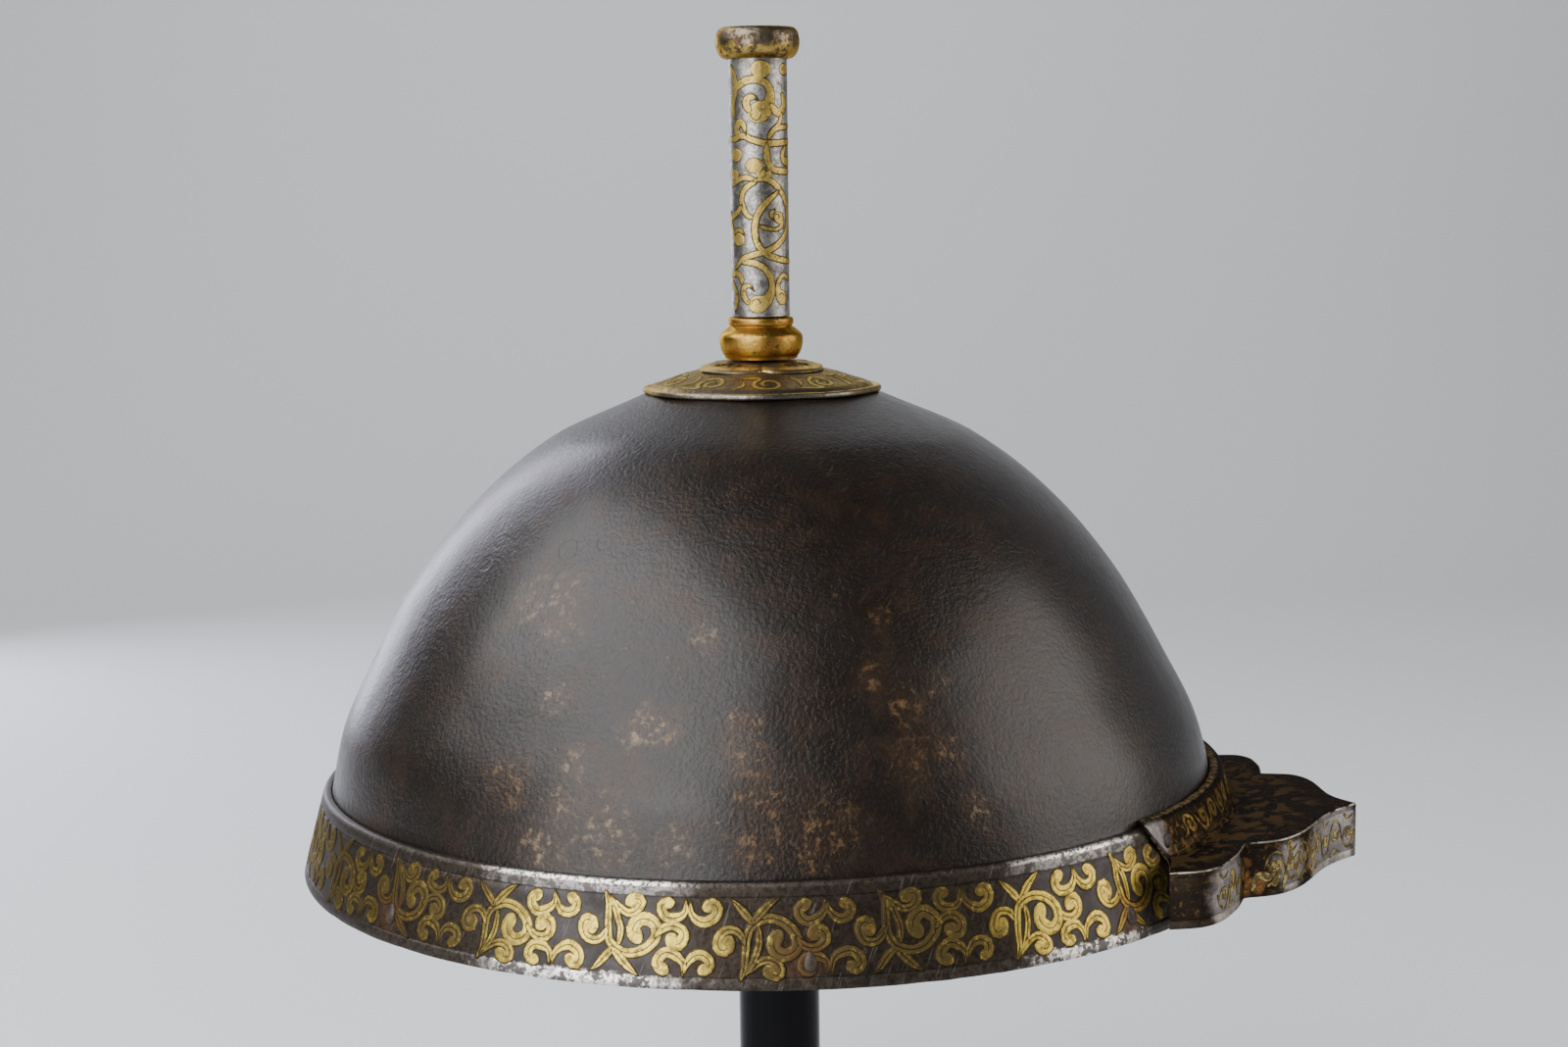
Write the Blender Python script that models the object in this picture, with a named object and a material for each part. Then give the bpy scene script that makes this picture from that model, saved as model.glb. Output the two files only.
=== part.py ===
"""A one-piece iron riding helmet with a brow band, a cusped peak and a plume finial,
resting on a plain turned display stand.

Metres, +Z up. The origin is the centre of the stand's foot, on the floor. The front of the
helmet, where the peak is, faces -Y. Sizes in the tables below are in millimetres.
"""
import math

import bmesh
import bpy
from mathutils import Matrix, Vector

MM = 0.001

# Driving sizes, in millimetres
RIM_HEIGHT = 150.0        # band's lower edge above the floor
HELMET_AXIS_BACK = 2.6    # the helmet's axis lies behind the pole's axis
BODY_FORWARD = 1.4        # the rim is centred a little in front of the finial
GAP = 0.3                 # between pieces that touch

BAND_RADIUS = 120.0       # outside, at the lower edge
BAND_FLARE = 0.272        # radius lost for each mm of height
BAND_WALL = 1.6
BAND_HEIGHT = 22.2
BAND_FRONT_RISE = 1.0     # the upper edge is higher in front, lower behind
BAND_CHAMFER = 0.5

BOWL_WALL = 1.8
BOWL_FOOT = 1.0           # the bowl's own edge, just above the band's
BOWL_HEIGHT = 124.9       # crown above the band's lower edge

# Outside of the bowl above the band, from its upper edge to the crown:
# share of that height, share of the radius inside the band's upper edge
BOWL_PROFILE = [
    (0.000, 1.000),
    (0.056, 0.990),
    (0.125, 0.974),
    (0.290, 0.902),
    (0.478, 0.805),
    (0.665, 0.669),
    (0.832, 0.484),
    (0.921, 0.304),
    (0.962, 0.213),
    (0.988, 0.133),
    (0.998, 0.062),
    (1.000, 0.000),
]

PEAK_REACH = 32.0          # tip in front of the band
PEAK_HALF_WIDTH = 61.3
PEAK_SHELF_HEIGHT = 15.4   # top of the shelf at its ends
PEAK_SHELF_RISE = 0.082    # it climbs towards the tip
PEAK_SKIRT_DEPTH = 13.5
PEAK_WALL = 1.8
FLANGE_WALL = 1.4
FLANGE_ABOVE_BAND = 2.5    # upper edge over the band's
FLANGE_LIP = 1.2           # height of the inner lip that closes over the band to the bowl
FLANGE_HALF_FOOT = 48.0    # half width where the shelf bends out
FLANGE_HALF_TOP = 54.0     # half width along the upper edge
FILLET = 2.2               # height and reach of the bend between flange and shelf

# Plan outline of the peak, one half, as two lobes that meet in a step:
# share of the reach in front of the band, share of the half width
PEAK_SIDE_LOBE = [
    (-0.256, 1.000),
    (-0.031, 0.982),
    (0.094, 0.914),
    (0.156, 0.824),
    (0.200, 0.726),
    (0.222, 0.613),
]
PEAK_FRONT_LOBE = [
    (0.231, 0.594),
    (0.438, 0.564),
    (0.553, 0.509),
    (0.634, 0.431),
    (0.694, 0.336),
    (0.741, 0.248),
    (0.794, 0.166),
    (0.875, 0.088),
    (1.000, 0.000),
]

# Rivets: degrees from the front, share of the band's height
BAND_RIVETS = [
    (-124.0, 0.28),
    (-72.5, 0.25),
    (-33.0, 0.25),
    (33.0, 0.25),
    (72.5, 0.25),
    (124.0, 0.28),
    (180.0, 0.28),
]
PEAK_RIVET_SIDE = 48.0     # from the middle of the peak
PEAK_RIVET_HEIGHT = 3.6    # over the shelf's ends
RIVET_HEAD_RADIUS = 2.0
PEAK_RIVET_HEAD_RADIUS = 1.7
RIVET_HEAD_HEIGHT = 1.0
RIVET_INNER_HEAD_RADIUS = 1.9
SHANK_RADIUS = 1.1

PLATE_RADIUS = 30.3
PLATE_WALL = 0.9
PLATE_EDGE = 1.7           # height of its rounded rim
PETAL_RADIUS = 17.3        # at the petals' tips
PETAL_NOTCH = 3.2          # depth of the cusps between them
PETAL_WALL = 0.7
PETALS = 4

KNOP_RADIUS = 10.55
KNOP_HEIGHT = 10.4
# Turned foot, cushion and collar, from the top down: share of the height, share of the radius
KNOP_PROFILE = [
    (1.00, 0.730),
    (0.93, 0.768),
    (0.84, 0.758),
    (0.80, 0.805),
    (0.74, 0.820),
    (0.66, 0.880),
    (0.58, 0.975),
    (0.48, 1.000),
    (0.28, 0.972),
    (0.14, 0.938),
    (0.08, 0.880),
    (0.00, 0.862),
]
TUBE_RADIUS = 7.35
TUBE_WALL = 1.25
TUBE_LENGTH = 71.0
TUBE_FLOOR = 3.0           # thickness of the socket's floor
RING_RADIUS = 10.5
RING_HEIGHT = 7.8
# Swelling ring round the mouth, outside, from the bottom up: share of the height,
# share of the way from the tube to the widest point
RING_PROFILE = [
    (0.00, 0.30),
    (0.15, 0.68),
    (0.40, 0.90),
    (0.69, 1.00),
    (0.87, 0.95),
    (0.97, 0.78),
    (1.00, 0.50),
    (0.97, 0.22),
]

POLE_RADIUS = 10.5
HEAD_RADIUS = 41.6
HEAD_SIDE = 14.0
HEAD_TAPER = 4.0
HEAD_NECK_RADIUS = 17.0
BASE_RADIUS = 85.0
BASE_HEIGHT = 12.0
BASE_ROUNDING = 4.0


def band_radius(height):
    return BAND_RADIUS - BAND_FLARE * height


def curve_through(rows, at):
    """Smooth value between the rows of (position, value), without overshoot."""
    for i in range(len(rows) - 1):
        if at <= rows[i + 1][0] or i == len(rows) - 2:
            break
    (x0, y0), (x1, y1) = rows[i], rows[i + 1]
    step = x1 - x0

    def slope(k):
        if k == 0:
            return (rows[1][1] - rows[0][1]) / (rows[1][0] - rows[0][0])
        if k == len(rows) - 1:
            return (rows[k][1] - rows[k - 1][1]) / (rows[k][0] - rows[k - 1][0])
        left = (rows[k][1] - rows[k - 1][1]) / (rows[k][0] - rows[k - 1][0])
        right = (rows[k + 1][1] - rows[k][1]) / (rows[k + 1][0] - rows[k][0])
        if left * right <= 0:
            return 0.0
        return 2 * left * right / (left + right)

    t = (at - x0) / step
    m0 = slope(i) * step
    m1 = slope(i + 1) * step
    return ((2 * t ** 3 - 3 * t ** 2 + 1) * y0 + (t ** 3 - 2 * t ** 2 + t) * m0
            + (3 * t ** 2 - 2 * t ** 3) * y1 + (t ** 3 - t ** 2) * m1)


def bowl_rows():
    """The bowl's outside above the band as (height over the rim, radius)."""
    foot = BAND_HEIGHT + BAND_FRONT_RISE
    foot_radius = band_radius(foot) - BAND_WALL - GAP
    return [(foot + up * (BOWL_HEIGHT - foot), out * foot_radius) for up, out in BOWL_PROFILE]


def body_shift(height):
    """How far the bowl's section is centred in front of the finial's axis."""
    fade = 1.0 - (height - BAND_HEIGHT) / (0.92 * (BOWL_HEIGHT - BAND_HEIGHT))
    return BODY_FORWARD * max(0.0, min(1.0, fade))


def on_helmet(angle, radius, height, shift=0.0):
    """A point of the helmet from its angle off the front (towards +X), in metres."""
    x = radius * math.sin(angle)
    y = HELMET_AXIS_BACK - shift - radius * math.cos(angle)
    return Vector((x * MM, y * MM, (RIM_HEIGHT + height) * MM))


# Mesh helpers
def finish(name, bm, material, smooth=35.0):
    bmesh.ops.recalc_face_normals(bm, faces=bm.faces)
    mesh = bpy.data.meshes.new(name)
    bm.to_mesh(mesh)
    bm.free()
    mesh.shade_smooth()
    mesh.set_sharp_from_angle(angle=math.radians(smooth))
    mesh.materials.append(material)
    obj = bpy.data.objects.new(name, mesh)
    bpy.context.scene.collection.objects.link(obj)
    return obj


def loft(rings, closed=False, caps=False):
    """Skin a list of rings. A ring of one point is a pole."""
    bm = bmesh.new()
    rows = [[bm.verts.new(p) for p in ring] for ring in rings]
    pairs = list(zip(rows, rows[1:]))
    if closed:
        pairs.append((rows[-1], rows[0]))
    for a, b in pairs:
        count = max(len(a), len(b))
        for i in range(count):
            j = (i + 1) % count
            if len(a) == 1:
                bm.faces.new((a[0], b[i], b[j]))
            elif len(b) == 1:
                bm.faces.new((a[i], b[0], a[j]))
            else:
                bm.faces.new((a[i], b[i], b[j], a[j]))
    if caps:
        bm.faces.new(rows[0])
        bm.faces.new(rows[-1])
    return bm


def turned(profile, segments, place, closed=False):
    """Turn a profile of (height, radius); place() gives each point."""
    rings = []
    for height, radius in profile:
        if radius < 1e-6:
            rings.append([place(0.0, 0.0, height)])
        else:
            rings.append([place(2 * math.pi * k / segments, radius, height)
                          for k in range(segments)])
    return loft(rings, closed=closed)


def finish_material(name, colour, roughness, metallic):
    material = bpy.data.materials.new(name)
    material.use_nodes = True
    shader = material.node_tree.nodes["Principled BSDF"]
    shader.inputs["Base Color"].default_value = (*colour, 1.0)
    shader.inputs["Roughness"].default_value = roughness
    shader.inputs["Metallic"].default_value = metallic
    return material


for old in list(bpy.data.objects):
    bpy.data.objects.remove(old, do_unlink=True)

RUSSET_IRON = finish_material("russet_iron", (0.045, 0.032, 0.027), 0.42, 0.9)
WORN_SILVER = finish_material("worn_silver", (0.32, 0.30, 0.28), 0.42, 1.0)
GILT = finish_material("worn_gilding", (0.52, 0.34, 0.10), 0.35, 1.0)
BLACK_PAINT = finish_material("black_paint", (0.012, 0.012, 0.013), 0.25, 0.0)


# Bowl
BOWL_STEPS = [0.03, 0.07, 0.13, 0.21, 0.30, 0.39, 0.48, 0.575, 0.67, 0.76,
              0.84, 0.89, 0.93, 0.96, 0.985, 0.997]


def bowl_outside():
    curve = bowl_rows()
    rows = [(BOWL_FOOT, band_radius(BOWL_FOOT) - BAND_WALL - GAP), curve[0]]
    for share in BOWL_STEPS:
        height = curve[0][0] + share * (BOWL_HEIGHT - curve[0][0])
        rows.append((height, curve_through(curve, height)))
    rows.append(curve[-1])
    return rows


def thickened(rows, wall):
    """The inner side of a profile, set in by the wall along its normal."""
    inner = []
    for i, (height, radius) in enumerate(rows):
        before = rows[max(i - 1, 0)]
        after = rows[min(i + 1, len(rows) - 1)]
        along = Vector((after[1] - before[1], after[0] - before[0])).normalized()
        inner.append((height + along.x * wall, radius - along.y * wall))
    inner[0] = (rows[0][0], rows[0][1] - wall)
    inner[-1] = (rows[-1][0] - wall, 0.0)
    return inner


def helmet_point(angle, radius, height):
    return on_helmet(angle, radius, height, body_shift(height))


def axis_point(angle, radius, height):
    return on_helmet(angle, radius, height, 0.0)


outside = bowl_outside()
inside = thickened(outside, BOWL_WALL)
inside = [row for i, row in enumerate(inside) if i < 2 or i % 2 == 1 or i > 15]
bowl = finish("bowl", turned(outside[::-1] + inside, 60, helmet_point), RUSSET_IRON)

# Brow band
BAND_BEND = 0.18 * BAND_HEIGHT   # its rise towards the front starts here


def band_point(angle, radius, height):
    """The band's upper edge follows its small rise towards the front."""
    share = max(0.0, height - BAND_BEND) / (BAND_HEIGHT - BAND_BEND)
    rise = BAND_FRONT_RISE * math.cos(angle) * share
    radius -= BAND_FLARE * rise
    return on_helmet(angle, radius, height + rise, BODY_FORWARD)


band_section = [
    (0.0, band_radius(0.0) - BAND_CHAMFER),
    (BAND_CHAMFER, band_radius(BAND_CHAMFER)),
    (BAND_BEND, band_radius(BAND_BEND)),
    (BAND_HEIGHT - BAND_CHAMFER, band_radius(BAND_HEIGHT - BAND_CHAMFER)),
    (BAND_HEIGHT, band_radius(BAND_HEIGHT) - BAND_CHAMFER),
    (BAND_HEIGHT, band_radius(BAND_HEIGHT) - BAND_WALL),
    (BAND_BEND, band_radius(BAND_BEND) - BAND_WALL),
    (0.0, band_radius(0.0) - BAND_WALL),
]
brow_band = finish("brow_band", turned(band_section, 72, band_point, closed=True),
                   WORN_SILVER)


# Peak
def smooth_line(points, steps):
    """Points along a smooth line through the given ones (Catmull-Rom)."""
    line = []
    for i in range(len(points) - 1):
        p0 = Vector(points[max(i - 1, 0)])
        p1 = Vector(points[i])
        p2 = Vector(points[i + 1])
        p3 = Vector(points[min(i + 2, len(points) - 1)])
        for k in range(steps):
            t = k / steps
            line.append(0.5 * (2 * p1 + (p2 - p0) * t + (2 * p0 - 5 * p1 + 4 * p2 - p3) * t * t
                               + (3 * p1 - p0 - 3 * p2 + p3) * t ** 3))
    line.append(Vector(points[-1]))
    return line


def peak_outline():
    """The plan outline from the -X end, round the tip, to the +X end."""
    front = band_radius(PEAK_SHELF_HEIGHT) + BODY_FORWARD
    half = smooth_line(PEAK_SIDE_LOBE, 2) + smooth_line(PEAK_FRONT_LOBE, 2)
    left = [Vector((-p.y * PEAK_HALF_WIDTH, front + p.x * PEAK_REACH)) for p in half]
    right = [Vector((-p.x, p.y)) for p in left[-2::-1]]
    return left + right


def inset(line, wall):
    """The same line set in towards the helmet by the wall, mitred at its corners."""
    result = []
    for i, point in enumerate(line):
        before = line[max(i - 1, 0)]
        after = line[min(i + 1, len(line) - 1)]
        a = (point - before).normalized() if i else (after - point).normalized()
        b = (after - point).normalized() if i < len(line) - 1 else a
        normal_a = Vector((a.y, -a.x))
        normal_b = Vector((b.y, -b.x))
        normal = (normal_a + normal_b).normalized()
        result.append(point + normal * wall / max(0.6, normal.dot(normal_a)))
    return result


def shelf_height(forward):
    return PEAK_SHELF_HEIGHT + PEAK_SHELF_RISE * (forward - peak_outline()[0].y)


def peak_section(outer, inner, level, foot_level):
    """One closed section of the peak: flange, fillet, shelf, skirt and back underneath."""
    side = outer.x / PEAK_HALF_WIDTH
    flange_top = BAND_HEIGHT + FLANGE_ABOVE_BAND
    foot_angle = math.asin(FLANGE_HALF_FOOT * side / band_radius(PEAK_SHELF_HEIGHT))
    top_angle = math.asin(FLANGE_HALF_TOP * side / band_radius(flange_top))

    def flange(height, off):
        mix = min(1.0, max(0.0, (height - PEAK_SHELF_HEIGHT) / (flange_top - PEAK_SHELF_HEIGHT)))
        angle = foot_angle + (top_angle - foot_angle) * mix
        radius = band_radius(height) + off
        return Vector((radius * math.sin(angle), radius * math.cos(angle) + BODY_FORWARD, height))

    def lip(height):
        return curve_through(bowl_rows(), height) + 1.2 * GAP - band_radius(height)

    face = GAP + FLANGE_WALL
    lip_bottom = flange_top - FLANGE_LIP
    root = flange(foot_level, face)
    out = (outer - root.xy).normalized()
    edge = outer + (inner - outer) * 0.28
    bottom = level - PEAK_SKIRT_DEPTH
    section = [
        flange(lip_bottom, GAP),
        flange(lip_bottom, lip(lip_bottom)),
        flange(flange_top, lip(flange_top)),
        flange(flange_top, face - 0.3 * FLANGE_WALL),
        flange(flange_top - 0.5 * FLANGE_WALL, face),
        flange(foot_level + FILLET, face),
        flange(foot_level + 0.3 * FILLET, face) + Vector((*(out * 0.3 * FILLET), 0.0)),
        Vector((*(root.xy + out * FILLET), foot_level + PEAK_SHELF_RISE * FILLET * out.y)),
        Vector((*edge, level)),
        Vector((*outer, level - 0.28 * PEAK_WALL)),
        Vector((*outer, bottom + 0.22 * PEAK_WALL)),
        Vector((*edge, bottom)),
        Vector((*inner, bottom)),
        Vector((*inner, level - PEAK_WALL)),
        Vector((*(root.xy + out * 0.35 * FILLET), foot_level - PEAK_WALL)),
        flange(foot_level - PEAK_WALL, GAP),
    ]
    return [Vector((p.x * MM, (HELMET_AXIS_BACK - p.y) * MM, (RIM_HEIGHT + p.z) * MM))
            for p in section]


def peak_rings():
    outline = peak_outline()
    foot_sine = FLANGE_HALF_FOOT / band_radius(PEAK_SHELF_HEIGHT) / PEAK_HALF_WIDTH
    rings = []
    for outer, inner in zip(outline, inset(outline, PEAK_WALL)):
        foot = math.sqrt(1.0 - (foot_sine * outer.x) ** 2)
        foot_forward = (band_radius(PEAK_SHELF_HEIGHT) + GAP + FLANGE_WALL) * foot + BODY_FORWARD
        rings.append(peak_section(outer, inner, shelf_height(outer.y), shelf_height(foot_forward)))
    return rings


peak = finish("peak", loft(peak_rings(), caps=True), RUSSET_IRON)


# Rivets and their holes
def across_wall(angle_deg, height):
    """Frame on the band's outside: +Z of the result points out along the wall's normal."""
    angle = math.radians(angle_deg)
    centre = on_helmet(angle, band_radius(height), height, BODY_FORWARD)
    out = Vector((math.sin(angle), -math.cos(angle), BAND_FLARE)).normalized()
    side = Vector((math.cos(angle), math.sin(angle), 0.0))
    up = out.cross(side)
    turn = Matrix((side, up, out)).transposed()
    return Matrix.Translation(centre) @ turn.to_4x4()


def rivet(name, angle_deg, height, seat, head_radius, material):
    """One turned piece: a low head on the seat, a shank and the hammered inner end."""
    depth = -(BAND_WALL + GAP + BOWL_WALL + GAP)
    frame = across_wall(angle_deg, height)
    rows = [
        (seat + RIVET_HEAD_HEIGHT, 0.0),
        (seat + RIVET_HEAD_HEIGHT * 0.86, head_radius * 0.55),
        (seat + RIVET_HEAD_HEIGHT * 0.5, head_radius * 0.9),
        (seat, head_radius),
        (seat, SHANK_RADIUS),
        (depth, SHANK_RADIUS),
        (depth, RIVET_INNER_HEAD_RADIUS),
        (depth - 0.6 * RIVET_HEAD_HEIGHT, 0.7 * RIVET_INNER_HEAD_RADIUS),
        (depth - 0.75 * RIVET_HEAD_HEIGHT, 0.0),
    ]

    def place(turn, radius, along):
        upright = 1.2 if along >= seat and radius > SHANK_RADIUS else 1.0
        return frame @ Vector((radius * math.cos(turn) * MM, radius * math.sin(turn) * upright * MM,
                               along * MM))

    return finish(name, turned(rows, RIVET_SIDES, place), material, smooth=50.0)


RIVET_SIDES = 10
HOLE_SPARE = 3.0           # how far the drill passes each side of the walls
band_places = [(angle, share * BAND_HEIGHT) for angle, share in BAND_RIVETS]
peak_rivet_height = PEAK_SHELF_HEIGHT + PEAK_RIVET_HEIGHT
peak_rivet_angle = math.degrees(math.asin(PEAK_RIVET_SIDE / band_radius(peak_rivet_height)))
peak_places = [("right", -peak_rivet_angle), ("left", peak_rivet_angle)]
for index, (angle, height) in enumerate(band_places):
    rivet("band_rivet_%d" % (index + 1), angle, height, GAP, RIVET_HEAD_RADIUS, RUSSET_IRON)
for side_name, angle in peak_places:
    rivet("peak_rivet_" + side_name, angle, peak_rivet_height, 2 * GAP + FLANGE_WALL,
          PEAK_RIVET_HEAD_RADIUS, RUSSET_IRON)

hole_mesh = bmesh.new()
hole_radius = SHANK_RADIUS + GAP
hole_ends = (FLANGE_WALL + GAP + HOLE_SPARE, -(BAND_WALL + GAP + BOWL_WALL + HOLE_SPARE))
for angle, height in band_places + [(angle, peak_rivet_height) for _, angle in peak_places]:
    frame = across_wall(angle, height)
    ends = []
    for along in hole_ends:
        ring = []
        for k in range(RIVET_SIDES):
            turn = 2 * math.pi * k / RIVET_SIDES
            ring.append(hole_mesh.verts.new(frame @ Vector((hole_radius * math.cos(turn) * MM,
                                                            hole_radius * math.sin(turn) * MM,
                                                            along * MM))))
        ends.append(ring)
    for k in range(RIVET_SIDES):
        j = (k + 1) % RIVET_SIDES
        hole_mesh.faces.new((ends[0][k], ends[1][k], ends[1][j], ends[0][j]))
    hole_mesh.faces.new(ends[0])
    hole_mesh.faces.new(ends[1])
holes = finish("rivet_holes", hole_mesh, RUSSET_IRON)
holes.hide_render = True
holes.display_type = "WIRE"
for drilled in (bowl, brow_band, peak):
    cut = drilled.modifiers.new("drill rivet holes", "BOOLEAN")
    cut.operation = "DIFFERENCE"
    cut.object = holes


# Finial
def crown_height(radius):
    """Height of the bowl's outside at a radius near the crown."""
    falling = sorted((r, h) for h, r in bowl_rows())
    return curve_through(falling, radius)


def plate_point(angle, radius, height):
    """The plate is a worn octagon with rounded corners."""
    eighth = math.cos(4.0 * (angle - math.radians(11.0))) ** 2
    squeeze = 1.0 - 0.022 * (1.0 - eighth) * (radius / PLATE_RADIUS) ** 4
    return on_helmet(angle, radius * squeeze, height)


def plate_under(radius):
    return crown_height(radius) + GAP


rim = plate_under(PLATE_RADIUS) + 0.1
dome_radii = [share * PLATE_RADIUS for share in (0.0, 0.30, 0.56, 0.79)]
plate_rows = [(plate_under(r) + PLATE_WALL, r) for r in dome_radii]
plate_rows += [
    (rim + PLATE_EDGE, PLATE_RADIUS - 0.4 * PLATE_EDGE),
    (rim + 0.75 * PLATE_EDGE, PLATE_RADIUS),
    (rim + 0.25 * PLATE_EDGE, PLATE_RADIUS),
    (rim + 0.1 * PLATE_EDGE, PLATE_RADIUS - 0.35 * PLATE_EDGE),
]
plate_rows += [(plate_under(r), r) for r in dome_radii[::-1]]
finial_plate = finish("finial_plate", turned(plate_rows, 40, plate_point), GILT)


def petal_point(angle, radius, height):
    """Rounded petals that meet in cusps; one cusp faces the -X side."""
    phase = (angle / (2 * math.pi) * PETALS - 0.16) % 1.0
    lobe = math.sin(math.pi * phase) ** 0.55
    reach = 1.0 - PETAL_NOTCH / PETAL_RADIUS * (1.0 - lobe)
    return on_helmet(angle, radius * reach, height)


def petal_under(radius):
    return plate_under(radius) + PLATE_WALL + GAP


petal_rows = [
    (petal_under(0.0) + PETAL_WALL, 0.0),
    (petal_under(0.54 * PETAL_RADIUS) + PETAL_WALL, 0.56 * PETAL_RADIUS),
    (petal_under(0.77 * PETAL_RADIUS) + 1.2 * PETAL_WALL, 0.77 * PETAL_RADIUS),
    (petal_under(0.95 * PETAL_RADIUS) + 1.1 * PETAL_WALL, 0.96 * PETAL_RADIUS),
    (petal_under(0.97 * PETAL_RADIUS) + 0.8 * PETAL_WALL, PETAL_RADIUS),
    (petal_under(0.97 * PETAL_RADIUS) + 0.25 * PETAL_WALL, 0.995 * PETAL_RADIUS),
    (petal_under(0.77 * PETAL_RADIUS), 0.79 * PETAL_RADIUS),
    (petal_under(0.48 * PETAL_RADIUS), 0.48 * PETAL_RADIUS),
    (petal_under(0.0), 0.0),
]
finial_petals = finish("finial_petals", turned(petal_rows, 40, petal_point), GILT)

knop_foot = petal_rows[0][0] + GAP
knop_rows = [(knop_foot + KNOP_HEIGHT, 0.0)]
knop_rows += [(knop_foot + up * KNOP_HEIGHT, out * KNOP_RADIUS) for up, out in KNOP_PROFILE]
knop_rows.append((knop_foot, 0.0))
finial_knop = finish("finial_knop", turned(knop_rows, 28, axis_point), GILT)

tube_foot = knop_foot + KNOP_HEIGHT + GAP
tube_top = tube_foot + TUBE_LENGTH
tube_bore = TUBE_RADIUS - TUBE_WALL
tube_rows = [
    (tube_foot, 0.0),
    (tube_foot, TUBE_RADIUS),
    (tube_top, TUBE_RADIUS),
    (tube_top, tube_bore),
    (tube_foot + TUBE_FLOOR, tube_bore),
    (tube_foot + TUBE_FLOOR, 0.0),
]
plume_tube = finish("plume_tube", turned(tube_rows, 28, axis_point), WORN_SILVER)

ring_foot = tube_top - RING_HEIGHT + 0.1 * RING_HEIGHT
ring_bore = TUBE_RADIUS + GAP
ring_rows = [(ring_foot, ring_bore)]
for up, out in RING_PROFILE:
    ring_rows.append((ring_foot + up * RING_HEIGHT, ring_bore + out * (RING_RADIUS - ring_bore)))
ring_rows.append((ring_foot + 0.88 * RING_HEIGHT, ring_bore))
tube_mouth = finish("tube_mouth", turned(ring_rows, 28, axis_point, closed=True), GILT)


# Stand
def inner_crown(radius):
    """Height of the bowl's inside at a radius near the crown."""
    return curve_through(sorted((r, h) for h, r in inside if h > 0.5 * BOWL_HEIGHT), radius)


head_seat = inner_crown(HEAD_RADIUS) - 1.5 * GAP
head_rows = [(inner_crown(share * HEAD_RADIUS) - 1.5 * GAP, share * HEAD_RADIUS)
             for share in (0.0, 0.22, 0.42, 0.62, 0.82, 0.96)]
head_rows += [
    (head_seat - 0.6, HEAD_RADIUS),
    (head_seat - HEAD_SIDE + 1.5, HEAD_RADIUS),
    (head_seat - HEAD_SIDE, HEAD_RADIUS - 1.6),
    (head_seat - HEAD_SIDE - HEAD_TAPER, HEAD_NECK_RADIUS),
    (head_seat - HEAD_SIDE - HEAD_TAPER, 0.0),
]
stand_head = finish("stand_head", turned(head_rows, 24, axis_point), BLACK_PAINT)


def stand_point(angle, radius, height):
    return Vector((radius * math.sin(angle) * MM, -radius * math.cos(angle) * MM, height * MM))


pole_top = RIM_HEIGHT + head_rows[-1][0] - GAP
pole_rows = [
    (pole_top, 0.0),
    (pole_top, POLE_RADIUS),
    (BASE_HEIGHT + GAP, POLE_RADIUS),
    (BASE_HEIGHT + GAP, 0.0),
]
stand_pole = finish("stand_pole", turned(pole_rows, 32, stand_point), BLACK_PAINT)

base_rows = [
    (BASE_HEIGHT, 0.0),
    (BASE_HEIGHT, BASE_RADIUS - BASE_ROUNDING),
    (BASE_HEIGHT - 0.3 * BASE_ROUNDING, BASE_RADIUS - 0.35 * BASE_ROUNDING),
    (BASE_HEIGHT - BASE_ROUNDING, BASE_RADIUS),
    (0.0, BASE_RADIUS),
    (0.0, 0.0),
]
stand_base = finish("stand_base", turned(base_rows, 36, stand_point), BLACK_PAINT)

for piece in (bowl, brow_band, peak, finial_plate, finial_petals, finial_knop, plume_tube,
              tube_mouth, stand_head, stand_pole, stand_base):
    print(piece.name, len(piece.data.polygons), "faces")
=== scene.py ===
# %% [markdown]
# A Tibetan riding helmet on its stand
#
# This lesson dresses a measured model of an iron helmet: a raised bowl, a flared brow band and
# a cusped peak, both inlaid with gold scrolls, and a tubular plume holder on the crown. The
# sizes come from the solid model, so every piece here lands exactly on what carries it.

# %% Load the measured model
import math

import bmesh
import bpy
from mathutils import Matrix, Vector, noise


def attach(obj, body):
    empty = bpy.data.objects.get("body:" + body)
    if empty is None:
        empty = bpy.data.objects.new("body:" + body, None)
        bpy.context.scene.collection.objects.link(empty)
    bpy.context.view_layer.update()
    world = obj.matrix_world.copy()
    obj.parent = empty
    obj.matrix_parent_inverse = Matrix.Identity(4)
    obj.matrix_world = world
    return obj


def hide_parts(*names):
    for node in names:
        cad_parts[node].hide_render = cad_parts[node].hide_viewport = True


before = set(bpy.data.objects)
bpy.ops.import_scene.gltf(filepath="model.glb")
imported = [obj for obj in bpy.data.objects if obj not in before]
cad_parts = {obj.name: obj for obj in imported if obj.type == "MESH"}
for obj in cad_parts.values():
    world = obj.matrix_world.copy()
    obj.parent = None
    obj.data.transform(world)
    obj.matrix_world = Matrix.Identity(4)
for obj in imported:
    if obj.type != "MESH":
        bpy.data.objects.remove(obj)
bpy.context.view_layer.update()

# %% [markdown]
# Where things are
#
# All lengths below are in millimetres above the rim of the band and out from the plume tube,
# because that is how a smith would measure the helmet. One function turns an angle, a radius
# and a height into a point in metres. Angles start at the peak and grow towards the wearer's
# left.

# %% Named sizes and the point on the helmet
MM = 0.001
RIM = 150.0
AXIS_BACK = 2.6
FORWARD = 1.4
GAP = 0.3
BAND_FOOT_RADIUS = 120.0
BAND_FLARE = 0.272
BAND_WALL = 1.6
BAND_HEIGHT = 22.2
FRONT_RISE = 1.0
BOWL_HEIGHT = 124.9


def on_helmet(angle, radius, height, shift=0.0):
    x = radius * math.sin(angle)
    y = AXIS_BACK - shift - radius * math.cos(angle)
    return Vector((x * MM, y * MM, (RIM + height) * MM))


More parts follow.
